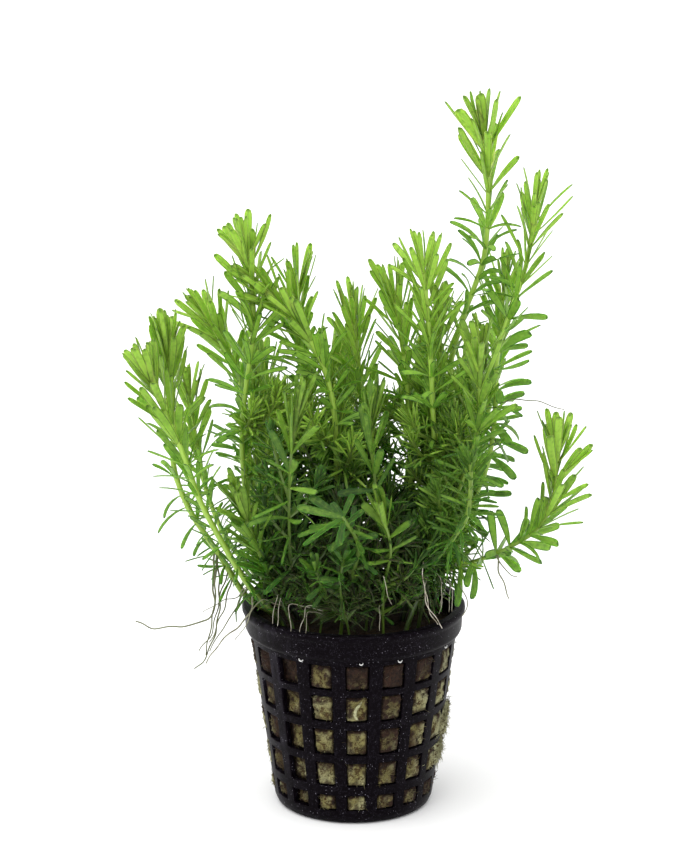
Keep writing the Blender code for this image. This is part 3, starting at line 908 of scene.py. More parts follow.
SHOOTS = (
    ShootPlan(
        "right_tallest", (16.5, 7.0),
        (
            (19.0, 8.0, 58.0), (23.5, 8.0, 76.0), (24.5, 6.0, 92.5), (23.0, 4.0, 107.0),
            (26.0, 3.0, 120.0), (30.5, 3.0, 133.5), (31.5, 2.0, 145.0), (31.0, 2.0, 158.0),
            (28.8, 2.0, 173.2),
        ),
        habit=OPENED, vigour=1.05, spread=0.76, shade=0.1, crown=1.08,
        fan=(
            (20, 1.0), (150, 1.0), (265, 0.9), (80, 0.9), (4, 1.0), (178, 1.0), (220, 1.0), (110, 0.95),
            (-6, 1.0), (188, 1.0), (52, 0.95), (130, 0.95), (-14, 0.9), (194, 0.82), (70, 0.86),
            (285, 0.86),
        ),
    ),
    ShootPlan(
        "right_second", (19.0, 0.5),
        (
            (23.0, 0.0, 64.5), (28.0, -4.0, 75.5), (32.0, -6.0, 87.5), (33.5, -6.0, 101.0),
            (34.0, -4.0, 113.5), (37.5, -2.0, 124.0), (41.0, 0.0, 135.5), (43.2, 0.0, 156.0),
        ),
        spread=0.95, shade=0.08, sprigs=8, pace=1.25, breadth=2.4, slender=0.85, crown=0.7,
    ),
    ShootPlan(
        "right_leaning", (15.0, 13.0),
        (
            (25.0, 12.0, 67.0), (30.5, 14.0, 84.5), (34.0, 16.0, 101.5), (35.5, 16.0, 116.5),
            (37.0, 16.0, 133.5),
        ),
        shade=0.14, sprigs=8, pace=1.2, breadth=2.2, crown=0.8,
    ),
    ShootPlan(
        "right_middle", (15.5, -10.0),
        ((20.5, -11.0, 69.5), (25.5, -15.5, 85.0), (29.0, -19.0, 100.5), (28.5, -20.0, 126.5)),
        vigour=0.94, spread=0.95, shade=0.27, sprigs=12, bark=0.35, slender=0.8,
    ),
    ShootPlan(
        "right_inner", (15.0, 2.8),
        ((19.0, 4.0, 59.5), (20.0, 1.0, 83.0), (20.5, -1.0, 100.5), (20.0, -3.0, 130.5)),
        spread=0.95, shade=0.12, sprigs=8, breadth=1.4, crown=0.8,
    ),
    ShootPlan(
        "centre_right_high", (12.0, -3.0),
        (
            (16.5, -4.0, 62.0), (19.0, -8.0, 85.5), (18.5, -9.0, 102.5), (17.5, -9.0, 119.5),
            (15.4, -9.0, 144.0),
        ),
        spread=0.95, shade=0.04, breadth=1.4, crown=0.72,
    ),
    ShootPlan(
        "centre_right", (10.0, 2.5),
        ((12.5, 2.0, 60.0), (14.0, 4.0, 82.0), (13.0, 6.0, 101.5), (11.0, 6.0, 116.0), (8.0, 5.0, 134.0)),
        spread=0.95, shade=0.06, breadth=1.3, crown=0.85,
    ),
    ShootPlan(
        "centre", (3.0, 8.0),
        ((1.5, 8.0, 58.0), (2.0, 12.0, 82.5), (1.5, 14.0, 102.0), (-1.0, 14.0, 126.5)),
        spread=0.95, shade=0.06, bark=0.2, crown=0.7,
    ),
    ShootPlan(
        "centre_slim", (-4.0, 11.5),
        ((-4.5, 12.0, 57.0), (-5.0, 18.0, 80.5), (-5.5, 20.0, 100.5), (-6.5, 20.0, 115.0)),
        shade=0.12, bark=0.3, crown=0.75,
    ),
    ShootPlan(
        "left_centre", (-8.0, 7.0),
        (
            (-8.5, 8.0, 58.0), (-10.0, 10.0, 80.5), (-11.5, 10.0, 100.5), (-13.5, 8.0, 118.0),
            (-12.0, 6.0, 136.5),
        ),
        spread=0.95, shade=0.06, breadth=1.4, crown=0.85,
    ),
    ShootPlan(
        "left_slanting", (-3.0, -2.0),
        (
            (-4.5, -2.0, 61.5), (-4.0, -4.0, 84.5), (-5.5, -5.0, 104.0), (-11.0, -6.0, 117.5),
            (-18.5, -7.0, 126.5), (-27.5, -8.0, 134.5),
        ),
        spread=0.92, shade=0.03, breadth=1.4, crown=0.88,
    ),
    ShootPlan(
        "left_high", (-14.0, -2.0),
        (
            (-22.0, -4.0, 58.0), (-25.5, -6.0, 77.5), (-26.5, -6.0, 92.0), (-25.5, -6.0, 104.5),
            (-23.5, -6.0, 119.0), (-24.0, -6.0, 129.5), (-26.5, -6.0, 147.0),
        ),
        spread=0.95, shade=0.03, pace=1.1, breadth=1.5, slender=0.85,
    ),
    ShootPlan(
        "left_leaning", (-15.0, 4.5),
        (
            (-21.0, 6.0, 56.0), (-24.5, 8.0, 73.5), (-26.5, 8.0, 91.0), (-27.5, 6.0, 105.0),
            (-33.0, 4.0, 116.5), (-40.0, 2.0, 127.5),
        ),
        spread=0.95, shade=0.05, pace=1.1, breadth=1.5, bare=0.2, crown=0.78,
    ),
    ShootPlan(
        "far_left", (-19.0, -4.0),
        (
            (-26.0, -4.0, 53.0), (-32.0, -7.0, 64.0), (-39.0, -9.0, 76.0), (-42.5, -10.0, 87.0),
            (-42.5, -10.0, 98.0), (-43.5, -9.0, 110.0), (-43.5, -8.0, 124.5),
        ),
        spread=0.92, shade=0.16, sprigs=2, pace=1.25, bare=0.36,
    ),
    ShootPlan(
        "far_left_low", (-17.0, -9.0),
        (
            (-24.0, -10.0, 56.0), (-30.0, -16.0, 68.0), (-36.0, -20.0, 81.5), (-40.0, -22.0, 94.0),
            (-51.0, -20.0, 120.0),
        ),
        spread=0.95, shade=0.16, sprigs=2, pace=1.3, bare=0.36,
    ),
    ShootPlan(
        "far_left_back", (-18.5, 9.0),
        (
            (-24.0, 10.0, 54.0), (-31.5, 14.0, 62.5), (-36.5, 18.0, 74.5), (-39.0, 20.0, 88.0),
            (-41.0, 20.0, 107.0),
        ),
        vigour=0.85, spread=0.95, bare=0.3, crown=0.85,
    ),
    ShootPlan(
        "front_left", (-11.0, -13.0),
        ((-14.5, -16.0, 60.5), (-15.0, -26.0, 83.0), (-14.0, -30.0, 98.5), (-11.5, -31.0, 114.0)),
        habit=BROOM, shade=0.4, sprigs=8, bark=0.85, shade_reach=0.5, slender=0.8,
    ),
    ShootPlan(
        "front_centre", (3.0, -11.0),
        ((4.5, -12.0, 64.5), (5.0, -20.0, 84.0), (4.0, -24.0, 97.0), (5.5, -25.0, 112.5)),
        habit=BROOM, shade=0.42, sprigs=8, bark=0.75, shade_reach=0.6, slender=0.8,
    ),
    ShootPlan(
        "front_facing", (-3.0, -14.0),
        ((-1.0, -18.0, 60.0), (1.0, -26.0, 72.0), (-3.5, -38.0, 84.0)),
        habit=ROSETTE, shade=0.58, bark=0.8, shade_reach=0.15,
        fan=(
            (-30.0, 1.12), (24.0, 1.2), (-138.0, 0.6), (0.0, 1.18), (-55.0, 1.02), (60.0, 0.66),
            (-78.0, 0.7), (-165.0, 0.55),
        ),
    ),
    ShootPlan(
        "front_short", (7.0, -15.5),
        ((7.0, -18.0, 59.0), (8.6, -24.0, 70.0), (7.0, -27.5, 78.5), (3.6, -30.0, 88.5)),
        habit=TUFT, shade=0.4, sprigs=8, bark=0.5, shade_reach=0.25, slender=0.62,
    ),
    ShootPlan(
        "front_low_left", (-8.0, -17.0),
        ((-6.5, -19.5, 57.5), (-8.0, -25.0, 63.0), (-9.7, -29.0, 69.5)),
        habit=BUD, vigour=0.95, shade=0.5, bark=0.6, shade_reach=0.5, slender=0.55,
    ),
    ShootPlan(
        "front_low_right", (-1.0, -19.0),
        ((-2.6, -22.0, 56.5), (-3.2, -27.0, 64.0), (-1.8, -31.0, 73.0)),
        habit=BUD, vigour=0.95, shade=0.55, bark=0.6, shade_reach=0.6, slender=0.55,
    ),
    ShootPlan(
        "right_arching", (13.5, -6.5),
        (
            (16.0, -8.0, 56.0), (22.5, -8.0, 60.5), (32.5, -12.0, 65.5), (41.5, -14.0, 71.0),
            (46.0, -14.0, 77.0), (47.5, -13.0, 84.5), (48.5, -11.0, 101.0),
        ),
        spread=1.15, shade=0.1, pace=0.95, breadth=2.0, bark=0.3, slender=0.72,
    ),
    ShootPlan(
        "right_low", (12.5, -14.0),
        ((18.0, -14.0, 62.5), (23.0, -22.0, 72.5), (26.5, -26.0, 80.5), (27.0, -28.0, 96.0)),
        habit=SPRIG, vigour=1.05, shade=0.32, sprigs=7, breadth=0.8, bark=0.5,
    ),
    ShootPlan(
        "left_low", (-14.5, -12.5),
        ((-18.5, -12.0, 57.0), (-22.5, -20.0, 69.5), (-29.0, -28.0, 91.0)),
        vigour=0.85, spread=0.8, shade=0.36, sprigs=9, breadth=1.1, bark=0.5,
    ),
    ShootPlan(
        "back_left", (-11.0, 12.5),
        ((-13.0, 14.0, 56.5), (-19.0, 26.0, 76.0), (-24.0, 34.0, 108.0)),
        shade=0.3, sprigs=9,
    ),
    ShootPlan(
        "back_centre", (0.0, 16.0),
        ((-0.5, 16.0, 55.5), (-1.5, 30.0, 77.5), (-2.0, 38.0, 106.0)),
        shade=0.3, sprigs=8,
    ),
    ShootPlan(
        "back_right", (8.5, 12.5),
        ((10.5, 14.0, 56.5), (13.5, 26.0, 76.0), (17.5, 35.0, 108.0)),
        shade=0.3, sprigs=8,
    ),
    ShootPlan(
        "back_far_right", (11.0, 17.5),
        ((17.0, 19.0, 56.5), (25.0, 26.0, 73.5), (29.5, 34.0, 106.0)),
        shade=0.3, sprigs=6,
    ),
)


@dataclass(frozen=True)
class RootThread:
    """A root that hangs from a shoot.

    Its route starts near the shoot's stem, and its tone goes from 0, pale, to 1, olive.
    """

    shoot: str
    route: tuple[Point, ...]
    tone: float = 0.0
    radius: float = 0.17


ROOTS = (
    RootThread("far_left", (
        (-33.0, -8.0, 65.0), (-33.0, -9.0, 59.5), (-33.0, -10.0, 55.5), (-33.5, -11.0, 51.0),
        (-34.5, -12.0, 45.5), (-35.5, -12.0, 40.5),
    ), 1.0),
    RootThread("far_left", (
        (-33.0, -8.0, 64.0), (-32.0, -10.0, 54.0), (-32.5, -11.0, 48.5), (-34.0, -11.0, 43.0),
        (-36.0, -11.5, 39.0), (-38.0, -12.0, 37.0),
    ), 1.0),
    RootThread("far_left", (
        (-33.0, -7.5, 66.0), (-33.5, -8.5, 57.0), (-33.5, -9.5, 50.5), (-36.5, -11.0, 48.5),
        (-40.0, -12.0, 48.0), (-45.0, -12.0, 47.5), (-48.5, -12.0, 47.5), (-52.0, -12.0, 49.0),
    ), 0.9, 0.2),
    RootThread("far_left", (
        (-31.0, -6.0, 60.0), (-32.0, -9.0, 54.0), (-34.0, -10.0, 45.5), (-37.0, -10.0, 41.0),
    ), 1.0, 0.14),
    RootThread("far_left", (
        (-29.0, -6.0, 58.0), (-31.0, -9.0, 51.5), (-33.0, -10.0, 46.5), (-34.5, -10.0, 43.0),
    ), 0.9, 0.15),
    RootThread("far_left_low", (
        (-27.5, -8.0, 58.0), (-27.5, -8.0, 52.5), (-29.5, -9.0, 49.0), (-32.0, -10.0, 45.5),
        (-34.5, -10.0, 41.0),
    ), 0.9, 0.15),
    RootThread("far_left_low", (
        (-24.0, -10.5, 56.0), (-24.5, -13.0, 52.0), (-26.5, -14.5, 49.5), (-30.0, -15.0, 46.5),
        (-33.5, -15.0, 42.5), (-35.0, -15.0, 39.5),
    ), 0.6, 0.2),
    RootThread("far_left_low", (
        (-27.5, -7.0, 58.0), (-28.5, -6.0, 53.0), (-32.0, -9.0, 53.0), (-36.0, -10.0, 50.5),
    ), 0.8, 0.13),
    RootThread("right_low", (
        (16.5, -14.0, 64.0), (16.4, -19.0, 66.5), (16.2, -22.0, 65.0), (16.5, -24.0, 60.5),
        (17.5, -26.0, 57.0), (20.8, -27.5, 52.5),
    )),
    RootThread("right_low", (
        (16.5, -14.0, 60.0), (16.8, -20.0, 60.5), (17.0, -23.0, 58.5), (18.0, -25.5, 55.5),
        (19.5, -27.0, 53.0),
    )),
    RootThread("right_low", (
        (17.0, -14.0, 63.0), (20.2, -18.0, 62.0), (20.8, -20.0, 58.0), (20.0, -21.0, 54.0),
    ), 0.2, 0.1),
    RootThread("right_low", (
        (17.0, -14.0, 62.0), (22.0, -17.0, 61.0), (23.4, -18.5, 57.5), (23.0, -19.0, 54.0),
    ), 0.3, 0.1),
    RootThread("right_arching", (
        (22.0, -8.5, 60.5), (21.5, -11.0, 56.0), (20.5, -12.0, 53.0),
    ), 0.2, 0.13),
    RootThread("right_arching", (
        (23.0, -8.5, 60.5), (23.0, -11.0, 56.5), (22.5, -12.0, 51.5),
    ), 0.3, 0.12),
    RootThread("right_arching", (
        (23.5, -8.5, 61.0), (25.5, -11.0, 57.5), (27.0, -12.0, 54.0), (26.0, -12.0, 50.5),
    ), 0.6, 0.16),
    RootThread("right_arching", (
        (34.0, -12.5, 66.0), (34.5, -13.0, 61.5), (35.5, -13.0, 59.0), (37.0, -13.0, 55.0),
    ), 0.8, 0.18),
    RootThread("right_arching", (
        (34.3, -12.6, 63.5), (37.0, -13.0, 61.0), (39.0, -13.0, 60.5),
    ), 0.8, 0.14),
    RootThread("left_low", (
        (-15.0, -13.0, 56.0), (-18.0, -18.0, 57.5), (-18.4, -20.5, 56.5), (-19.2, -22.5, 52.0),
    ), 0.0, 0.1),
    RootThread("left_low", (
        (-15.0, -13.0, 55.0), (-17.4, -19.0, 57.0), (-17.5, -21.5, 55.5), (-18.1, -23.4, 51.7),
    ), 0.1, 0.11),
    RootThread("front_low_left", (
        (-10.0, -18.0, 54.0), (-14.6, -21.0, 56.3), (-15.0, -23.5, 54.5), (-14.8, -26.3, 51.2),
    ), 0.0, 0.12),
    RootThread("front_low_left", (
        (-10.0, -18.0, 55.0), (-11.0, -22.0, 56.0), (-11.8, -25.0, 54.0), (-12.6, -27.3, 51.5),
    ), 0.1, 0.11),
    RootThread("front_low_left", (
        (-10.0, -18.0, 53.0), (-10.8, -22.5, 55.0), (-10.9, -25.5, 53.0), (-11.4, -27.4, 51.4),
    ), 0.2, 0.09),
    RootThread("front_short", (
        (7.5, -20.0, 62.0), (7.0, -26.0, 64.5), (7.6, -27.5, 61.5), (8.9, -28.5, 58.5),
    ), 0.0, 0.1),
    RootThread("front_short", (
        (7.0, -17.0, 55.0), (6.0, -22.0, 55.5), (6.0, -24.5, 54.0), (6.2, -26.5, 51.4),
    ), 0.3, 0.09),
    RootThread("left_low", (
        (-15.0, -12.5, 54.0), (-21.5, -15.5, 55.5), (-23.8, -17.5, 54.0), (-25.5, -19.0, 50.5),
        (-28.0, -20.0, 47.0),
    ), 0.7, 0.13),
    RootThread("right_second", (
        (34.0, -5.0, 101.0), (38.0, -4.0, 101.5), (43.0, -3.0, 101.0), (50.0, -2.0, 98.5),
    ), 1.0, 0.12),
)


Level = tuple[tuple[float, float], tuple[float, float]]


@dataclass(frozen=True)
class NetPot:
    """The lattice pot: a slotted base, five rows of square holes, a collar and a lip.

    Lengths are in millimetres, and the holes' columns are counted from the front.
    """

    height: float = 50.0
    wall: float = 1.5
    columns: int = 17
    first_column_deg: float = 2.0
    hole_share: float = 0.63
    base_radius: float = 19.0
    taper_top: tuple[float, float] = (25.0, 43.4)
    row_centres: tuple[float, ...] = (5.6, 13.15, 21.75, 30.5, 38.7)
    hole_heights: tuple[float, ...] = (4.0, 6.2, 6.7, 6.6, 6.3)
    base_slot: tuple[float, float] = (6.5, 15.0)
    collar_radius: float = 26.2
    lip_radius: float = 27.0
    lip_thickness: float = 2.0
    edge_rounding: float = 0.35
    rounded_from_deg: float = 50.0
    # White crescents under the collar: painted glints of light.
    glint_angles_deg: tuple[float, ...] = (-30.0, 4.0, 26.0, 62.0)
    glint_height: float = 42.9
    glint_radius: float = 0.55
    glint_steps: int = 13

    @property
    def pitch_deg(self) -> float:
        """Return the turn from one column of holes to the next."""
        return 360.0 / self.columns

    @property
    def reach_deg(self) -> float:
        """Return the turn from the middle of a hole to its side."""
        return self.pitch_deg * self.hole_share / 2

    def taper_radius(self, height: float) -> float:
        """Return the outer radius of the tapered body at a height."""
        top_radius, top_height = self.taper_top
        return self.base_radius + (top_radius - self.base_radius) * height / top_height

    def levels(self) -> tuple[list[Level], list[int]]:
        """Trace the wall from the middle of the base to the lip.

        Returns:
            A pair of an outer and an inner (radius, height) for each level, and the
            numbers of the levels below the open bands.
        """
        found = []
        open_bands = []

        def upright(height: float) -> None:
            """Add a level of the tapered body."""
            radius = self.taper_radius(height)
            found.append(((radius, height), (radius - self.wall, height)))

        slot_in, slot_out = self.base_slot
        for radius in (slot_in / 2, slot_in, slot_out):
            found.append(((radius, 0.0), (radius, self.wall)))
        open_bands.append(1)
        foot = self.base_radius
        for back, rise in ((2.0, 0.0), (1.0, 0.15), (0.35, 0.6)):
            found.append(((foot - back, rise), (foot - self.wall - back - 0.3, self.wall + rise)))
        upright(1.2 + self.wall * 0.5)
        for centre, height in zip(self.row_centres, self.hole_heights):
            upright(centre - height / 2)
            open_bands.append(len(found) - 1)
            upright(centre + height / 2)
        radius, height = self.taper_top
        bore = radius - self.wall + 0.8
        lip_foot = self.height - self.lip_thickness
        found += [
            ((radius, height - 0.2), (radius - self.wall, height - 0.2)),
            ((self.collar_radius - 0.35, height + 0.25), (bore - 0.5, height + 0.6)),
            ((self.collar_radius, height + 1.0), (bore, height + 1.4)),
            ((self.collar_radius + 0.15, lip_foot - 0.7), (bore, lip_foot - 0.7)),
            ((self.lip_radius - 0.3, lip_foot + 0.2), (bore + 0.05, lip_foot + 0.3)),
            ((self.lip_radius, lip_foot + 0.8), (bore + 0.1, lip_foot + 0.8)),
            ((self.lip_radius, self.height - 0.5), (bore + 0.15, self.height - 0.5)),
            ((self.lip_radius - 0.4, self.height), (bore + 0.5, self.height)),
        ]
        return found, open_bands

    def angles(self) -> tuple[list[float], list[bool]]:
        """Space the lattice's upright lines.

        Returns:
            Their angles, and for each whether a hole follows it.
        """
        reach = self.reach_deg
        offsets = ((-reach, True), (0.0, True), (reach, False), (self.pitch_deg / 2, False))
        angles = []
        holes = []
        for column in range(self.columns):
            middle = self.first_column_deg - 90.0 + column * self.pitch_deg
            for offset, hole in offsets:
                angles.append(math.radians(middle + offset))
                holes.append(hole)
        return angles, holes

    def build(self) -> bpy.types.Object:
        """Make the pot's piece, with its edges rounded.

        Returns:
            The piece.
        """
        levels, open_bands = self.levels()
        angles, holes = self.angles()
        sectors = len(angles)
        rings = [
            [(radius * math.cos(angle), radius * math.sin(angle), height) for angle in angles]
            for pair in levels for radius, height in pair
        ]

        def corner(level: int, inside: int, sector: int) -> int:
            """Return the number of a point."""
            return (2 * level + inside) * sectors + sector % sectors

        disc = range(sectors)
        last = len(levels) - 1
        faces = [tuple(corner(0, 0, s) for s in reversed(disc)), tuple(corner(0, 1, s) for s in disc)]
        for s in disc:
            rim = ((0, s), (0, s + 1), (1, s + 1), (1, s))
            faces.append(tuple(corner(last, inside, t) for inside, t in rim))
            for level in range(last):
                square = [(level, s), (level, s + 1), (level + 1, s + 1), (level + 1, s)]
                if not (level in open_bands and holes[s]):
                    faces.append(tuple(corner(k, 0, t) for k, t in square))
                    faces.append(tuple(corner(k, 1, t) for k, t in reversed(square)))
                    continue
                meets_hole = (False, holes[(s + 1) % sectors], False, holes[s - 1])
                for (k, t), (m, u), shared in zip(square, square[1:] + square[:1], meets_hole):
                    if not shared:
                        faces.append((corner(k, 0, t), corner(m, 0, u), corner(m, 1, u), corner(k, 1, t)))
        draft = MeshDraft()
        points = np.vstack(rings)
        draft.add(points, faces, 0, even_marks(len(points)))
        piece = draft.build("lattice_pot", [PotPlastic().material()])
        rounding = piece.modifiers.new("rounded_edges", "BEVEL")
        rounding.width = self.edge_rounding * MM
        rounding.segments = 3
        rounding.limit_method = "ANGLE"
        rounding.angle_limit = math.radians(self.rounded_from_deg)
        rounding.harden_normals = True
        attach(piece, "root")
        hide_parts("net_pot")
        return piece

    def build_glints(self) -> bpy.types.Object:
        """Make the small white crescents under the collar, which are painted glints.

        Returns:
            The piece.
        """
        draft = MeshDraft()
        proud = self.taper_radius(self.glint_height) + 0.02
        radii = 0.04 + 0.14 * np.sin(np.linspace(0.05, 0.95, self.glint_steps) * math.pi) ** 0.8
        for number, turn in enumerate(self.glint_angles_deg):
            outward, side = directions_at(turn)
            centre = outward * proud + np.array((0.0, 0.0, self.glint_height))
            sweep = np.radians(np.linspace(175.0, 350.0, self.glint_steps) + 12.0 * (number % 2))
            size = self.glint_radius * (0.75 if number == 1 else 1.0)
            crescent = np.outer(np.cos(sweep), side) + np.outer(np.sin(sweep), (0.0, 0.0, 1.0))
            points, faces = tube(centre + size * crescent, radii, 8)
            draft.add(points, faces, 0, even_marks(len(points)))
        piece = draft.build("collar_pips", [PaintedGlint().material()])
        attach(piece, "root")
        return piece


@dataclass(frozen=True)
class Band:
    """An upright band on the wool: the turn of its middle, its width and its strength."""

    middle_deg: float
    width_deg: float
    strength: float = 1.0

    def at(self, turn_deg: float) -> float:
        """Return its strength at a turn."""
        return self.strength * hump(turn_deg, self.middle_deg, self.width_deg)


@dataclass(frozen=True)
class Tuft:
    """A mat of pale growth outside the bars. Its turn is from the front, towards +X."""

    low: float
    high: float
    depth: float
    middle_deg: float
    spread_deg: float = 15.0
    row_height: float = 0.45
    columns: int = 26
    back: float = -0.6
    sunk: float = -0.35


@dataclass(frozen=True)
class RockWool:
    """The plug of wool in the pot, which fills the holes and bulges out on the right.

    Lengths are in millimetres. The growth is the pale matter that swells the wool on the
    right, and the tufts are where it stands out past the bars. Each rough size is a
    fineness and a depth. The sunk, dry, dark and streak bands follow the real wool's.
    """

    pot: NetPot
    edge_height: float = 45.5
    top: float = 47.0
    gap: float = 0.25
    swell: float = 1.75
    held_back: float = 0.15
    growth_deg: float = 84.0
    growth_height: float = 20.0
    growth_depth: float = 0.5
    rough_sizes: tuple[tuple[float, float], ...] = ((0.3, 0.4), (1.1, 0.22), (2.7, 0.1))
    sunk_bands: tuple[Band, ...] = (Band(-46.0, 16.0, 0.8), Band(-82.0, 9.0, -0.2))
    dry_bands: tuple[Band, ...] = (Band(-19.0, 10.0), Band(66.0, 11.0))
    dark_band: Band = Band(-56.0, 12.0, 0.9)
    streak_band: Band = Band(24.0, 8.0, 0.6)
    soaked_height: float = 43.5
    damp_height: float = 36.0
    foot_height: float = 8.6
    foot_from_deg: float = 34.0
    pale_from_deg: float = 38.0
    pale_left_from_deg: float = 66.0
    tufts: tuple[Tuft, ...] = (Tuft(10.2, 16.4, 0.5, 81.5), Tuft(16.9, 25.4, 0.8, 86.0))
    tuft_shares: tuple[float, ...] = (0.4, 0.6)
    fibres: int = 3600
    fibre_radii: tuple[float, ...] = (0.07, 0.06, 0.02)
    strand: tuple[tuple[float, float, float], ...] = (
        (4.8, 32.6, 0.1), (3.2, 31.6, 0.32), (1.2, 30.6, 0.42), (0.6, 29.4, 0.42), (1.6, 28.4, 0.3),
        (3.2, 27.7, 0.08),
    )

    def hole_place(self, turn_deg: float, height: float) -> tuple[float, float]:
        """Find a point in the nearest hole.

        Args:
            turn_deg: Its turn from the front, towards +X.
            height: Its height.

        Returns:
            Its place from -1 to 1 across the hole, and from -1 to 1 up it.
        """
        pot = self.pot
        half = pot.pitch_deg / 2
        across = ((turn_deg - pot.first_column_deg + half) % pot.pitch_deg - half) / pot.reach_deg
        rises = ((height - centre) / (size / 2) for centre, size in zip(pot.row_centres, pot.hole_heights))
        return across, min(rises, key=abs)

    def hole_share(self, turn_deg: float, height: float) -> float:
        """Return how far into a hole a point is: 1 inside and 0 behind the bars."""
        across, rise = self.hole_place(turn_deg, height)
        return max(0.0, 1.0 - across**14) * max(0.0, 1.0 - rise**14)

    def turns(self) -> Array:
        """Space the mesh's upright lines, close together at the holes' sides.

        Returns:
            Their turns, in degrees.
        """
        pot = self.pot
        half_bar = [pot.pitch_deg / 2 / pot.reach_deg]
        offsets = np.concatenate([[-1.04], np.linspace(-0.94, 0.94, 17), [1.04], half_bar]) * pot.reach_deg
        middles = pot.first_column_deg + pot.pitch_deg * np.arange(pot.columns)
        return (middles[:, None] + offsets).ravel()

    def heights(self) -> Array:
        """Space the mesh's rings, close together at the holes' edges.

        Returns:
            Their heights.
        """
        shares = np.concatenate([[-1.05], np.linspace(-0.94, 0.94, 16), [1.05]])
        found = [self.pot.wall + self.gap + 0.1]
        for centre, size in zip(self.pot.row_centres, self.pot.hole_heights):
            found += list(centre + size / 2 * shares)
        found += [self.edge_height - 2.0, self.edge_height]
        return np.array([height for height in found if height >= found[0]])

    def growth(self, turn_deg: float, height: float) -> float:
        """Return how much pale growth there is at a point, from 0 to 1."""
        turn = wrapped(turn_deg - self.growth_deg)
        return math.exp(-((turn / 20.0) ** 2) - ((height - self.growth_height) / 13.0) ** 2)

    def behind_bars(self, height: float) -> float:
        """Return the wool's radius at a height where a bar holds it in."""
        return self.pot.taper_radius(height) - self.pot.wall - self.gap

    def side_radius(self, turn_deg: float, height: float) -> float:
        """Shape the wool's side.

        Args:
            turn_deg: The turn from the front, towards +X.
            height: The height.

        Returns:
            The radius there.
        """
        place = Vector((math.radians(turn_deg) * 20.0, height, 3.0))
        rough = sum(noise.noise(place * fineness) * depth for fineness, depth in self.rough_sizes)
        rough -= sum(band.at(wrapped(turn_deg)) for band in self.sunk_bands)
        bulge = self.swell + self.growth_depth * self.growth(turn_deg, height) + rough - self.held_back
        return self.behind_bars(height) + self.hole_share(turn_deg, height) * bulge + min(0.0, rough)

    def wetness_and_shade(self, turn_deg: float, height: float) -> float:
        """Tell how dark the wool is: wet at the top, darker on the left, and with painted shade round each
        hole's edges and under its top.

        Args:
            turn_deg: The turn from the front, towards +X.
            height: The height.

        Returns:
            The darkness, from 0 to 1.
        """
        turn = wrapped(turn_deg)
        cloud = noise.noise(Vector((math.radians(turn_deg) * 3.0, height * 0.12, 7.0)))
        blot = noise.noise(Vector((math.radians(turn_deg) * 16.0, height * 0.7, 5.0)))
        soaked = soft_step(height - self.soaked_height - 3.0 * cloud, 1.5)
        dry = sum(band.at(turn) for band in self.dry_bands)
        damp = soft_step(height - self.damp_height - 1.5 * cloud, 0.8, 0.92 - 0.6 * dry)
        foot = soft_step(self.foot_height - height, 0.6, clamp((turn - self.foot_from_deg) / 22.0))
        streak = self.streak_band.at(turn) * min(1.0, max(0.5, (height - 8.0) / 10.0))
        across, rise = self.hole_place(turn_deg, height)
        rim = max(abs(across), abs(rise)) + 0.75 * blot
        # Painted shade: darker round each hole's edges and towards its top, under the bar above.
        shaded = 0.8 * clamp((rim - 0.5) / 0.42) + 0.3 * clamp(rise + 0.7 * blot)
        stains_and_shade = damp + self.dark_band.at(turn) + streak + shaded + foot + 0.15 * cloud
        return clamp(max(soaked, stains_and_shade))

    def paleness(self, turn_deg: float, height: float) -> float:
        """Tell how pale the wool is: most on the outer sides.

        Args:
            turn_deg: The turn from the front, towards +X.
            height: The height.

        Returns:
            The paleness, from 0 to 1.
        """
        turn = wrapped(turn_deg)
        cloud = noise.noise(Vector((math.radians(turn_deg) * 5.0, height * 0.2, 17.0)))
        sides = 0.0
        if turn > 0.0 or abs(turn) > self.pale_left_from_deg:
            sides = 0.8 * clamp((abs(turn) - self.pale_from_deg) / 26.0)
        return clamp(sides + 0.9 * cloud + 0.1)

    def build(self) -> bpy.types.Object:
        """Make the wool's piece.

        Returns:
            The piece.
        """
        draft = MeshDraft()
        self._add_plug(draft)
        for tuft in self.tufts:
            self._add_tuft(draft, tuft)
        self._add_fibres(draft, np.random.default_rng(11))
        self._add_strand(draft)
        piece = draft.build("matted_wool", [WoolFibre().material()])
        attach(piece, "root")
        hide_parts("rock_wool")
        return piece

    def _add_plug(self, draft: MeshDraft) -> None:
        """Add the plug: its side ring by ring, and then its domed and lumpy top.

        Args:
            draft: The wool's mesh.
        """
        heights = self.heights()
        turns = self.turns()
        points = []
        marks = []
        for height in heights:
            for turn in turns:
                points.append(on_ring(self.side_radius(turn, height), turn, height))
                marks.append((0.0, 0.0, self.paleness(turn, height), self.wetness_and_shade(turn, height)))
        shoulder = self.behind_bars(self.edge_height)
        shares = (0.96, 0.88, 0.76, 0.62, 0.48, 0.34, 0.2, 0.08)
        for share in shares:
            dome = self.edge_height + (self.top - self.edge_height) * (1.0 - share**2) - 0.4
            for turn in turns:
                x, y, _ = on_ring(shoulder * share, turn, dome)
                lump = noise.noise(Vector((x * 0.25, y * 0.25, 1.0)))
                lump += 0.5 * noise.noise(Vector((x, y, 2.0)))
                points.append((x, y, dome + 0.7 * lump))
                marks.append((0.0, 0.0, 0.0, 0.9))
        faces = closed_faces(len(heights) + len(shares), len(turns))
        draft.add(np.array(points), faces, 0, np.array(marks))

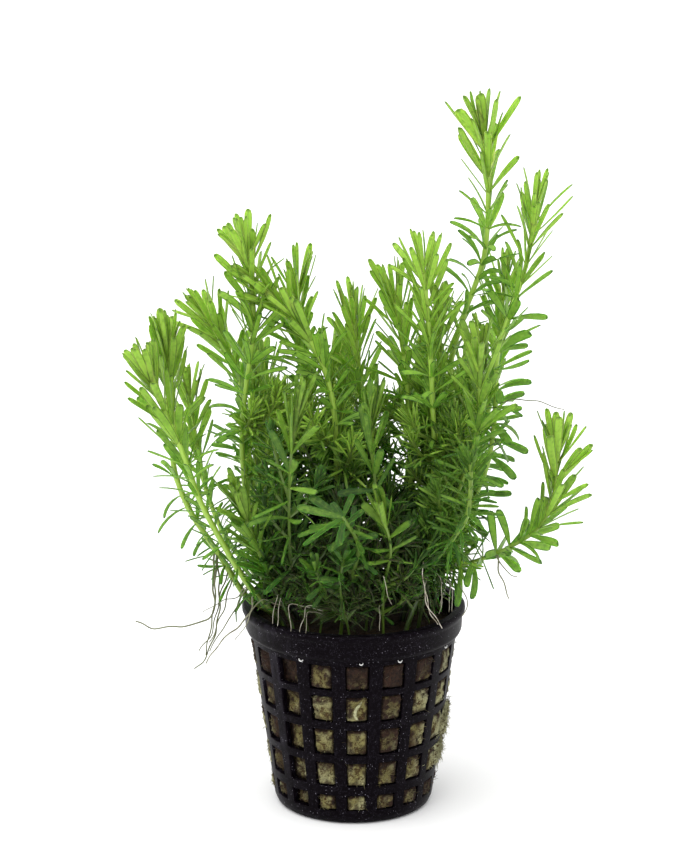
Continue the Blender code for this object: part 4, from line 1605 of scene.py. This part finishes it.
    def _add_tuft(self, draft: MeshDraft, tuft: Tuft) -> None:
        """Add a mat of pale growth that hangs outside the bars on the right.

        Args:
            draft: The wool's mesh.
            tuft: Its place and size.
        """
        rows, columns = int((tuft.high - tuft.low) / tuft.row_height), tuft.columns
        outer = []
        inner = []
        for row in range(rows):
            rise = 2.0 * row / (rows - 1) - 1.0
            height = (tuft.low + tuft.high) / 2 + rise * (tuft.high - tuft.low) / 2
            radius = self.pot.taper_radius(height)
            for column in range(columns):
                share = 2.0 * column / (columns - 1) - 1.0
                turn = tuft.middle_deg + tuft.spread_deg * share
                place = Vector((turn * 0.2, height * 0.8, 9.0))
                rough = noise.noise(place) + 0.6 * noise.noise(place * 2.6)
                edge = min(1.0, 2.2 * (1.0 - math.hypot(share, rise) ** 1.6 + 0.55 * rough))
                if max(abs(share), abs(rise)) == 1.0:
                    edge = -1.0
                thick = max(tuft.sunk, edge * tuft.depth * (1.0 + 0.7 * rough))
                outer.append(on_ring(radius + thick, turn, height))
                inner.append(on_ring(radius + tuft.back, turn, height))
        count = rows * columns
        faces = []
        for row in range(rows - 1):
            for low in range(row * columns, (row + 1) * columns - 1):
                faces.append((low, low + 1, low + columns + 1, low + columns))
                faces.append(tuple(count + corner for corner in reversed(faces[-1])))
        rim = list(range(columns))
        rim += [row * columns + columns - 1 for row in range(1, rows)]
        rim += [(rows - 1) * columns + column for column in range(columns - 2, -1, -1)]
        rim += [row * columns for row in range(rows - 2, 0, -1)]
        for start, end in zip(rim, rim[1:] + rim[:1]):
            faces.append((end, start, count + start, count + end))
        draft.add(np.array(outer + inner), faces, 0, even_marks(2 * count, tone=0.9))

    def _add_fibres(self, draft: MeshDraft, dice: np.random.Generator) -> None:
        """Add the loose fibres that stand out of the holes, and one in four on a tuft.

        Args:
            draft: The wool's mesh.
            dice: Where each fibre's own place and lean come from.
        """
        pot = self.pot
        for number in range(self.fibres):
            on_tuft = number % 4 == 0
            if on_tuft:
                tuft = self.tufts[int(dice.choice(len(self.tufts), p=self.tuft_shares))]
                turn = dice.normal(tuft.middle_deg, 8.0)
                height = dice.uniform(tuft.low + 0.5, tuft.high - 0.5)
                radius = pot.taper_radius(height) + dice.uniform(-0.1, 1.0) * tuft.depth
            else:
                row = int(dice.integers(0, len(pot.row_centres)))
                height = pot.row_centres[row] + dice.uniform(-0.5, 0.5) * pot.hole_heights[row]
                column = int(dice.integers(0, pot.columns)) + dice.uniform(-0.3, 0.3)
                turn = pot.first_column_deg + pot.pitch_deg * column
                radius = self.side_radius(turn, height) - 0.1
            outward, tangent = directions_at(turn)
            start = radius * outward + np.array((0.0, 0.0, height))
            reach = dice.uniform(0.4, 1.6) * (1.2 if on_tuft else 0.8)
            lift = dice.uniform(0.05, 0.45) * (1.0 if on_tuft else 0.8)
            aside, rise = dice.normal(0.0, 0.7), dice.normal(0.0, 0.7)
            way = unit(outward * lift + tangent * aside + np.array((0.0, 0.0, rise)))
            middle = start + way * reach * 0.6 + outward * 0.12
            end = start + way * reach * 1.3 - outward * 0.05
            points, faces = tube(np.array([start, middle, end]), np.array(self.fibre_radii), 3)
            pale, wet_and_shade = 0.85, 0.0
            if not on_tuft:
                pale = clamp(self.paleness(turn, height) + dice.normal(0.1, 0.3))
                wet_and_shade = self.wetness_and_shade(turn, height) * 0.8
            draft.add(points, faces, 0, even_marks(len(points), pale, wet_and_shade))

    def _add_strand(self, draft: MeshDraft) -> None:
        """Add the pale curled strand that shows in the front hole of the second row.

        Args:
            draft: The wool's mesh.
        """
        path = [
            on_ring(self.side_radius(turn, height) + 0.1, turn, height) for turn, height, _ in self.strand
        ]
        points, faces = tube(np.array(path), np.array([radius for *_, radius in self.strand]), 8)
        draft.add(points, faces, 0, even_marks(len(points), tone=1.0))


@dataclass(frozen=True)
class ClumpShade:
    """Painted shade deep in the clump, together with the darker old leaves there: an oval round its
    middle, which fades upwards and outwards.

    Lengths are in millimetres. The right, left and depth are the oval's half widths, and the
    foot is the zone of stronger painted shade just above the pot.
    """

    middle: float = 1.0
    right: float = 17.5
    left: float = 21.5
    depth: float = 33.0
    top: float = 98.0
    top_fade: float = 30.0
    foot_width: float = 25.0
    foot_top: float = 74.0
    foot_fade: float = 18.0

    def at(self, point: Array) -> float:
        """Tell how much painted shade a point gets.

        Args:
            point: The point.

        Returns:
            The darkness, from 0 to 1.
        """
        x, y, z = point
        aside = x - self.middle
        reach = math.hypot(aside / (self.right if aside > 0.0 else self.left), y / self.depth)
        low = clamp((self.top - z) / self.top_fade)
        base = clamp((self.foot_top - z) / self.foot_fade)
        inner = clamp(2.5 - 2.45 * reach)
        outer = clamp((1.35 - reach) / 0.3)
        foot = clamp(2.3 - 1.9 * math.hypot(aside / self.foot_width, y / self.depth))
        heart = low * (0.06 + 0.17 * outer + 0.6 * inner)
        return min(1.0, heart + 0.6 * base * (0.1 + 0.2 * outer + foot))


class Shoot:
    """One shoot: its stem, its whorls of leaves, its side shoots and its roots.

    Lengths are in millimetres. The bush's sides are its left, right, near and far one: where
    each is at the pot's lip, and how far it moves in one pot's height.
    """

    SOCKET_FLOOR = 40.5
    EMERGES = 47.6
    CROWN_REACH = 9.6
    SHORT_REACH = 3.0
    LOWEST_WHORL = 50.5
    BARE_HEIGHT = 12.0
    CORE_RADIUS = 21.0
    OUTER_LIFT = 1.5
    LEAST_KEPT = 0.15
    COLLAR_CLEAR = 2.2
    LIP_CLEAR = 0.3
    RIM_CLEAR = 0.2
    STEM_RADIUS = 0.74
    STEM_TIP_RADIUS = 0.45
    STEM_SIDES = 8
    STEM_STEP = 1.1
    KNOT_SWELL = 0.1
    KNOT_LENGTH = 0.7
    OLD_AT = 80.0
    CROWN_LENGTH = 26.0
    BODY_FROM = 20.0
    BARE_FROM = 22.0
    PAINTED_LIT_SHARE = 0.16
    SPRIG_SIDES = 5
    SPRIG_RADIUS = 0.36
    SPRIG_BARK = 0.55
    SPRIG_LEAF = 0.9
    SPRIG_SHADE = 0.19
    SPRIG_TOP = 96.0
    SPRIG_LENGTHS = (10.0, 20.0)
    SPRIG_TRIES = 12
    BUSH_FLOOR = 57.0
    BUSH_TOP = 113.0
    BUSH_SIDES = ((-21.0, -3.0), (19.0, 13.0), (-18.0, -10.0), (21.0, 10.0))
    ROOT_SIDES = 6
    ROOT_STEP = 0.8
    ROOT_WAVER = 0.18
    CLUMP_SHADE = ClumpShade()

    def __init__(self, plan: ShootPlan, pot: NetPot, number: int) -> None:
        """Lay the shoot's line.

        Args:
            plan: Where it grows.
            pot: The pot, which its leaves keep clear of.
            number: Its place in the table, which seeds its own small differences.
        """
        self.plan = plan
        self.pot = pot
        self.dice = np.random.default_rng(500 + number)
        x, y = plan.foot
        self.line = Route(((x, y, self.SOCKET_FLOOR), (x, y, self.EMERGES), *plan.route))
        self.draft = MeshDraft()
        self.fan = list(plan.fan)

    def build(self, materials: Sequence[bpy.types.Material]) -> bpy.types.Object:
        """Make the shoot's piece.

        Args:
            materials: The finishes of leaf, stem and root, in that order.

        Returns:
            The piece.
        """
        plan = self.plan
        is_short = plan.habit in (ROSETTE, SPRIG, BUD)
        end = self.line.length - (self.SHORT_REACH if is_short else self.CROWN_REACH)
        radius = self.STEM_RADIUS * plan.vigour * plan.slender * (1.0 - 0.45 * plan.bark)
        self._add_axis(self.line, end, plan.habit, plan.vigour, radius)
        for _ in range(plan.sprigs):
            self._add_sprig(end)
        for thread in ROOTS:
            if thread.shoot == plan.name:
                self._add_root(thread)
        piece = self.draft.build("leafy_" + plan.name, materials, sharp_deg=55.0)
        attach(piece, "root")
        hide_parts("shoot_" + plan.name)
        return piece

    def _add_axis(self, line: Route, end: float, habit: Habit, size: float, radius: float) -> None:
        """Add a stem and its whorls.

        Args:
            line: The line that it follows.
            end: How far along the line the stem ends.
            habit: How its leaves grow.
            size: The size of its leaves, where 1 is usual.
            radius: The stem's radius at its foot.
        """
        gaps = list(habit.gaps)
        distance = end - 0.2
        whorls = []
        while distance > 1.0 and line.at(distance)[2] > self.LOWEST_WHORL:
            whorls.append(distance)
            gap = gaps.pop(0) if gaps else habit.later_gap * self.plan.pace
            distance -= gap * self.dice.uniform(0.75, 1.25)
        self._add_stem(line, end, whorls, radius)
        for distance in whorls:
            self._add_whorl(line, distance, end - distance, habit, size)

    def _add_stem(self, line: Route, end: float, whorls: Sequence[float], radius: float) -> None:
        """Add a stem, a little swollen where each whorl grows.

        Args:
            line: The line that it follows.
            end: How far along the line it ends.
            whorls: How far along the line each whorl is.
            radius: Its radius at its foot.
        """
        spots = np.linspace(0.0, end, max(6, int(end / self.STEM_STEP)))
        radii = radius + (min(self.STEM_TIP_RADIUS, radius * 0.8) - radius) * (spots / end) ** 2
        for distance in whorls:
            radii = radii + self.KNOT_SWELL * np.exp(-(((spots - distance) / self.KNOT_LENGTH) ** 2))
        radii[-1] *= 0.4
        path = line.at(spots)
        sides = self.STEM_SIDES if radius > self.STEM_TIP_RADIUS else self.SPRIG_SIDES
        points, faces = tube(path, radii, sides)
        is_thin = radius < self.STEM_TIP_RADIUS * 0.85
        bark = max(0.9 * self.plan.bark, self.SPRIG_BARK if is_thin else 0.0)
        # The stem darkens with its bark and with the painted shade of the clump's heart.
        bark_and_shade = [min(1.0, self.CLUMP_SHADE.at(point) * self.plan.shade_reach + bark) for point in path]
        marks = even_marks(len(points), self.plan.shade * 0.8, np.repeat(bark_and_shade, sides))
        self.draft.add(points, faces, 1, marks)

    def _is_clear(self, points: Array) -> bool:
        """Tell whether a leaf keeps out of the pot and the wool.

        Args:
            points: The leaf's points.

        Returns:
            Whether every one of them does.
        """
        pot = self.pot
        across, height = np.hypot(points[:, 0], points[:, 1]), points[:, 2]
        over_wool = (across < pot.collar_radius - self.COLLAR_CLEAR) & (height > self.EMERGES)
        near_pot = (across < pot.lip_radius + self.LIP_CLEAR) & (height < pot.height + self.RIM_CLEAR)
        return not bool(np.any(near_pot & ~over_wool))

    def _outside(self, point: Array) -> float:
        """Return how far a point is past the clump's core."""
        return max(0.0, math.hypot(point[0], point[1]) - self.CORE_RADIUS)

    def _is_kept(self, foot: Array) -> bool:
        """Tell whether a leaf is still there: just above the pot most have fallen."""
        height = foot[2] + self.OUTER_LIFT * self._outside(foot) - self.LOWEST_WHORL
        return self.dice.uniform() < self.LEAST_KEPT + height / self.BARE_HEIGHT

    def _add_whorl(self, line: Route, distance: float, below: float, habit: Habit, size: float) -> None:
        """Add the leaves of one whorl.

        Args:
            line: The line that the stem follows.
            distance: How far along the line the whorl is.
            below: How far it is below the stem's end.
            habit: How the leaves grow.
            size: Their size, where 1 is usual.
        """
        dice, plan = self.dice, self.plan
        is_sprig = habit is SPRIG
        blade = PLAIN_BLADE if is_sprig else FINE_BLADE
        along = line.direction(distance)
        centre = line.at(distance)
        across = unit(np.cross(along, (0.0, 1.0, 0.0) if abs(along[1]) < 0.9 else (0.0, 0.0, 1.0)))
        ahead = np.cross(along, across)
        lean = habit.at(habit.lean_deg, below) + dice.normal(0.0, 3.0)
        turn = dice.uniform(0.0, math.tau)
        slim = min(1.0, 0.62 + 0.38 * (centre[2] + 2.0 * self._outside(centre) - 50.0) / 32.0)
        breadth = 1.0 + (plan.breadth - 1.0) * clamp((below - self.BODY_FROM) / 10.0)
        breadth *= 1.0 + (plan.crown - 1.0) * clamp((self.CROWN_LENGTH - below) / 8.0)
        count = int(habit.at(habit.leaves, below) * max(1.0, breadth) ** -0.6 + dice.uniform(0.0, 1.0))
        for leaf in range(count):
            angle = turn + math.tau * (leaf + dice.uniform(-0.35, 0.35)) / count
            share = dice.uniform(0.78, 1.12)
            if self.fan and habit is plan.habit:
                turn_deg, share = self.fan.pop(0)
                angle = math.radians(turn_deg)
            outward = math.cos(angle) * across + math.sin(angle) * ahead
            growth = LeafGrowth(
                length=habit.at(habit.length, below) * size * share,
                width=habit.at(habit.width, below) * size * breadth * slim * dice.uniform(0.82, 1.12),
                lean_deg=lean * plan.spread + dice.normal(0.0, 7.0 + 0.22 * min(below, 50.0)),
                bend_deg=habit.at(habit.bend_deg, below) + dice.normal(0.0, 5.0 + 0.34 * min(below, 40.0)),
                twist_deg=dice.choice((-1.0, 1.0)) * dice.normal(min(34.0, 12.0 + 4.0 * below), 9.0),
                sway=dice.normal(0.0, 0.03 + 0.0015 * min(below, 40.0)),
            )
            foot = centre + outward * 0.3
            points = blade.points(foot, along, outward, growth)
            has_fallen = plan.bare > 0.0 and below > self.BARE_FROM and dice.uniform() < plan.bare
            if not has_fallen and self._is_clear(points) and self._is_kept(foot):
                tone = self._leaf_tone(points.mean(axis=0), is_sprig)
                marks = blade.marks(tone, min(1.0, below / self.OLD_AT))
                self.draft.add(points, blade.faces(), 0, marks)

    def _leaf_tone(self, middle: Array, is_sprig: bool) -> float:
        """Choose how dark a leaf is, with painted shade deep in the clump. Here and there a leaf there is
        left lighter, as painted light that it catches.

        Args:
            middle: The leaf's middle.
            is_sprig: Whether it grows on a side shoot.

        Returns:
            Its tone, from 0 to 1.
        """
        painted_shade = self.CLUMP_SHADE.at(middle) * (1.0 if is_sprig else self.plan.shade_reach)
        depth = painted_shade * (0.42 if self.dice.uniform() < self.PAINTED_LIT_SHARE else 0.95)
        shade = self.plan.shade + (self.SPRIG_SHADE if is_sprig else 0.0)
        return clamp(self.dice.normal(shade * (1.0 - depth) + depth, 0.05 + 0.12 * painted_shade))

    def _add_sprig(self, end: float) -> None:
        """Add a short side shoot on the stem's lower part, where it stays inside the clump.

        Args:
            end: How far along its line the stem ends.
        """
        dice = self.dice
        top = min(self.SPRIG_TOP, self.line.points[-1][2] - 12.0)
        low = self.line.distance_at_height(self.LOWEST_WHORL)
        high = min(end - self.BODY_FROM, self.line.distance_at_height(top))
        if high <= low:
            high = low + 4.0
        for _ in range(self.SPRIG_TRIES):
            start = dice.uniform(low, high)
            along = self.line.direction(start)
            foot = self.line.at(start)
            angle = dice.uniform(0.0, math.tau)
            across = unit(np.cross(along, (0.0, 1.0, 0.0)))
            outward = math.cos(angle) * across + math.sin(angle) * np.cross(along, across)
            length = dice.uniform(*self.SPRIG_LENGTHS)
            way = unit(along * 0.6 + outward * 0.8)
            knee = foot + way * length * 0.45
            tip = knee + unit(way + np.array((0.0, 0.0, 0.9))) * length * 0.55
            if self._is_in_bush(tip):
                line = Route((tuple(foot), tuple(knee), tuple(tip)))
                size = self.SPRIG_LEAF * dice.uniform(0.8, 1.1)
                self._add_axis(line, line.length - 2.0, SPRIG, size, self.SPRIG_RADIUS)
                return

    def _is_in_bush(self, tip: Array) -> bool:
        """Tell whether a side shoot stays in the dense part of the clump, which widens upwards.

        Args:
            tip: The side shoot's tip.

        Returns:
            Whether it does.
        """
        x, y, z = tip
        rise = z / self.pot.height - 1.0
        left, right, near, far = (side + widening * rise for side, widening in self.BUSH_SIDES)
        return bool(left < x < right and near < y < far and self.BUSH_FLOOR < z < self.BUSH_TOP)

    def _add_root(self, thread: RootThread) -> None:
        """Add a hanging root, which wavers along its way.

        Args:
            thread: Its route, its tone and its thickness.
        """
        first = np.array(thread.route[0])
        start = self.line.points[np.argmin(np.linalg.norm(self.line.points - first, axis=1))]
        line = Route((tuple(start), *thread.route[1:]))
        spots = np.linspace(0.0, line.length, max(8, int(line.length / self.ROOT_STEP)))
        path = line.at(spots)
        for axis in range(3):
            phase = self.dice.uniform(0.0, math.tau)
            path[:, axis] += self.ROOT_WAVER * np.sin(spots * 0.9 + phase) * np.minimum(1.0, spots / 3.0)
        radii = (0.85 + 0.55 * thread.tone) * thread.radius * (1.0 - 0.4 * spots / line.length)
        points, faces = tube(path, radii, self.ROOT_SIDES)
        self.draft.add(points, faces, 2, even_marks(len(points), thread.tone))


@dataclass(frozen=True)
class Studio:
    """The white surface, the soft light and the camera."""

    camera_mm: Point = (-1.84, -750.0, 292.0)
    down_deg: float = 14.9
    focal_px: float = 3254.0
    long_side_px: float = 865.0
    sensor_mm: float = 36.0
    floor_size: float = 8.0
    floor_drop_mm: float = 0.05
    nearest_m: float = 0.01
    sun_strength: float = 2.2
    sun_spread_deg: float = 80.0
    sun_way: Point = (0.25, 0.3, -1.0)
    room_strength: float = 1.04

    def build(self) -> None:
        """Set up all of it."""
        self._floor()
        self._camera()
        self._sun()
        world = bpy.data.worlds.new("white_room")
        bpy.context.scene.world = world
        world.use_nodes = True
        room = world.node_tree.nodes["Background"].inputs
        room["Color"].default_value = (1.0, 1.0, 1.0, 1.0)
        room["Strength"].default_value = self.room_strength
        bpy.context.scene.view_settings.view_transform = "Standard"

    def _floor(self) -> None:
        """Lay the surface that the pot stands on."""
        half = self.floor_size / 2
        draft = MeshDraft()
        corners = ((-half, -half, 0.0), (half, -half, 0.0), (half, half, 0.0), (-half, half, 0.0))
        draft.add(np.array(corners) / MM, [(0, 1, 2, 3)], 0, even_marks(len(corners)))
        floor = draft.build("studio_floor", [StudioPaper().material()])
        floor.location.z = -self.floor_drop_mm * MM

    def _camera(self) -> None:
        """Place the camera."""
        data = bpy.data.cameras.new("studio_camera")
        data.sensor_width = self.sensor_mm
        data.lens = self.sensor_mm * self.focal_px / self.long_side_px
        data.clip_start = self.nearest_m
        camera = bpy.data.objects.new("studio_camera", data)
        camera.location = Vector(self.camera_mm) * MM
        camera.rotation_euler = (math.radians(90.0 - self.down_deg), 0.0, 0.0)
        bpy.context.scene.collection.objects.link(camera)
        bpy.context.scene.camera = camera

    def _sun(self) -> None:
        """Hang one wide soft light, high at the front left."""
        data = bpy.data.lights.new("high_softbox", "SUN")
        data.energy = self.sun_strength
        data.angle = math.radians(self.sun_spread_deg)
        light = bpy.data.objects.new("high_softbox", data)
        light.rotation_euler = Vector(self.sun_way).to_track_quat("-Z", "Y").to_euler()
        bpy.context.scene.collection.objects.link(light)


def main() -> None:
    """Build the dressed plant and its studio."""
    logging.basicConfig(level=logging.INFO, format="%(message)s")
    Studio().build()
    pot = NetPot()
    pieces = [pot.build(), pot.build_glints(), RockWool(pot).build()]
    finishes = [LeafTissue().material(), StemSkin().material(), RootSkin().material()]
    pieces += [Shoot(plan, pot, number).build(finishes) for number, plan in enumerate(SHOOTS)]
    for piece in pieces:
        LOG.info("%s: %d faces", piece.name, len(piece.data.polygons))
    LOG.info("all pieces: %d faces", sum(len(piece.data.polygons) for piece in pieces))


if __name__ == "__main__":
    main()
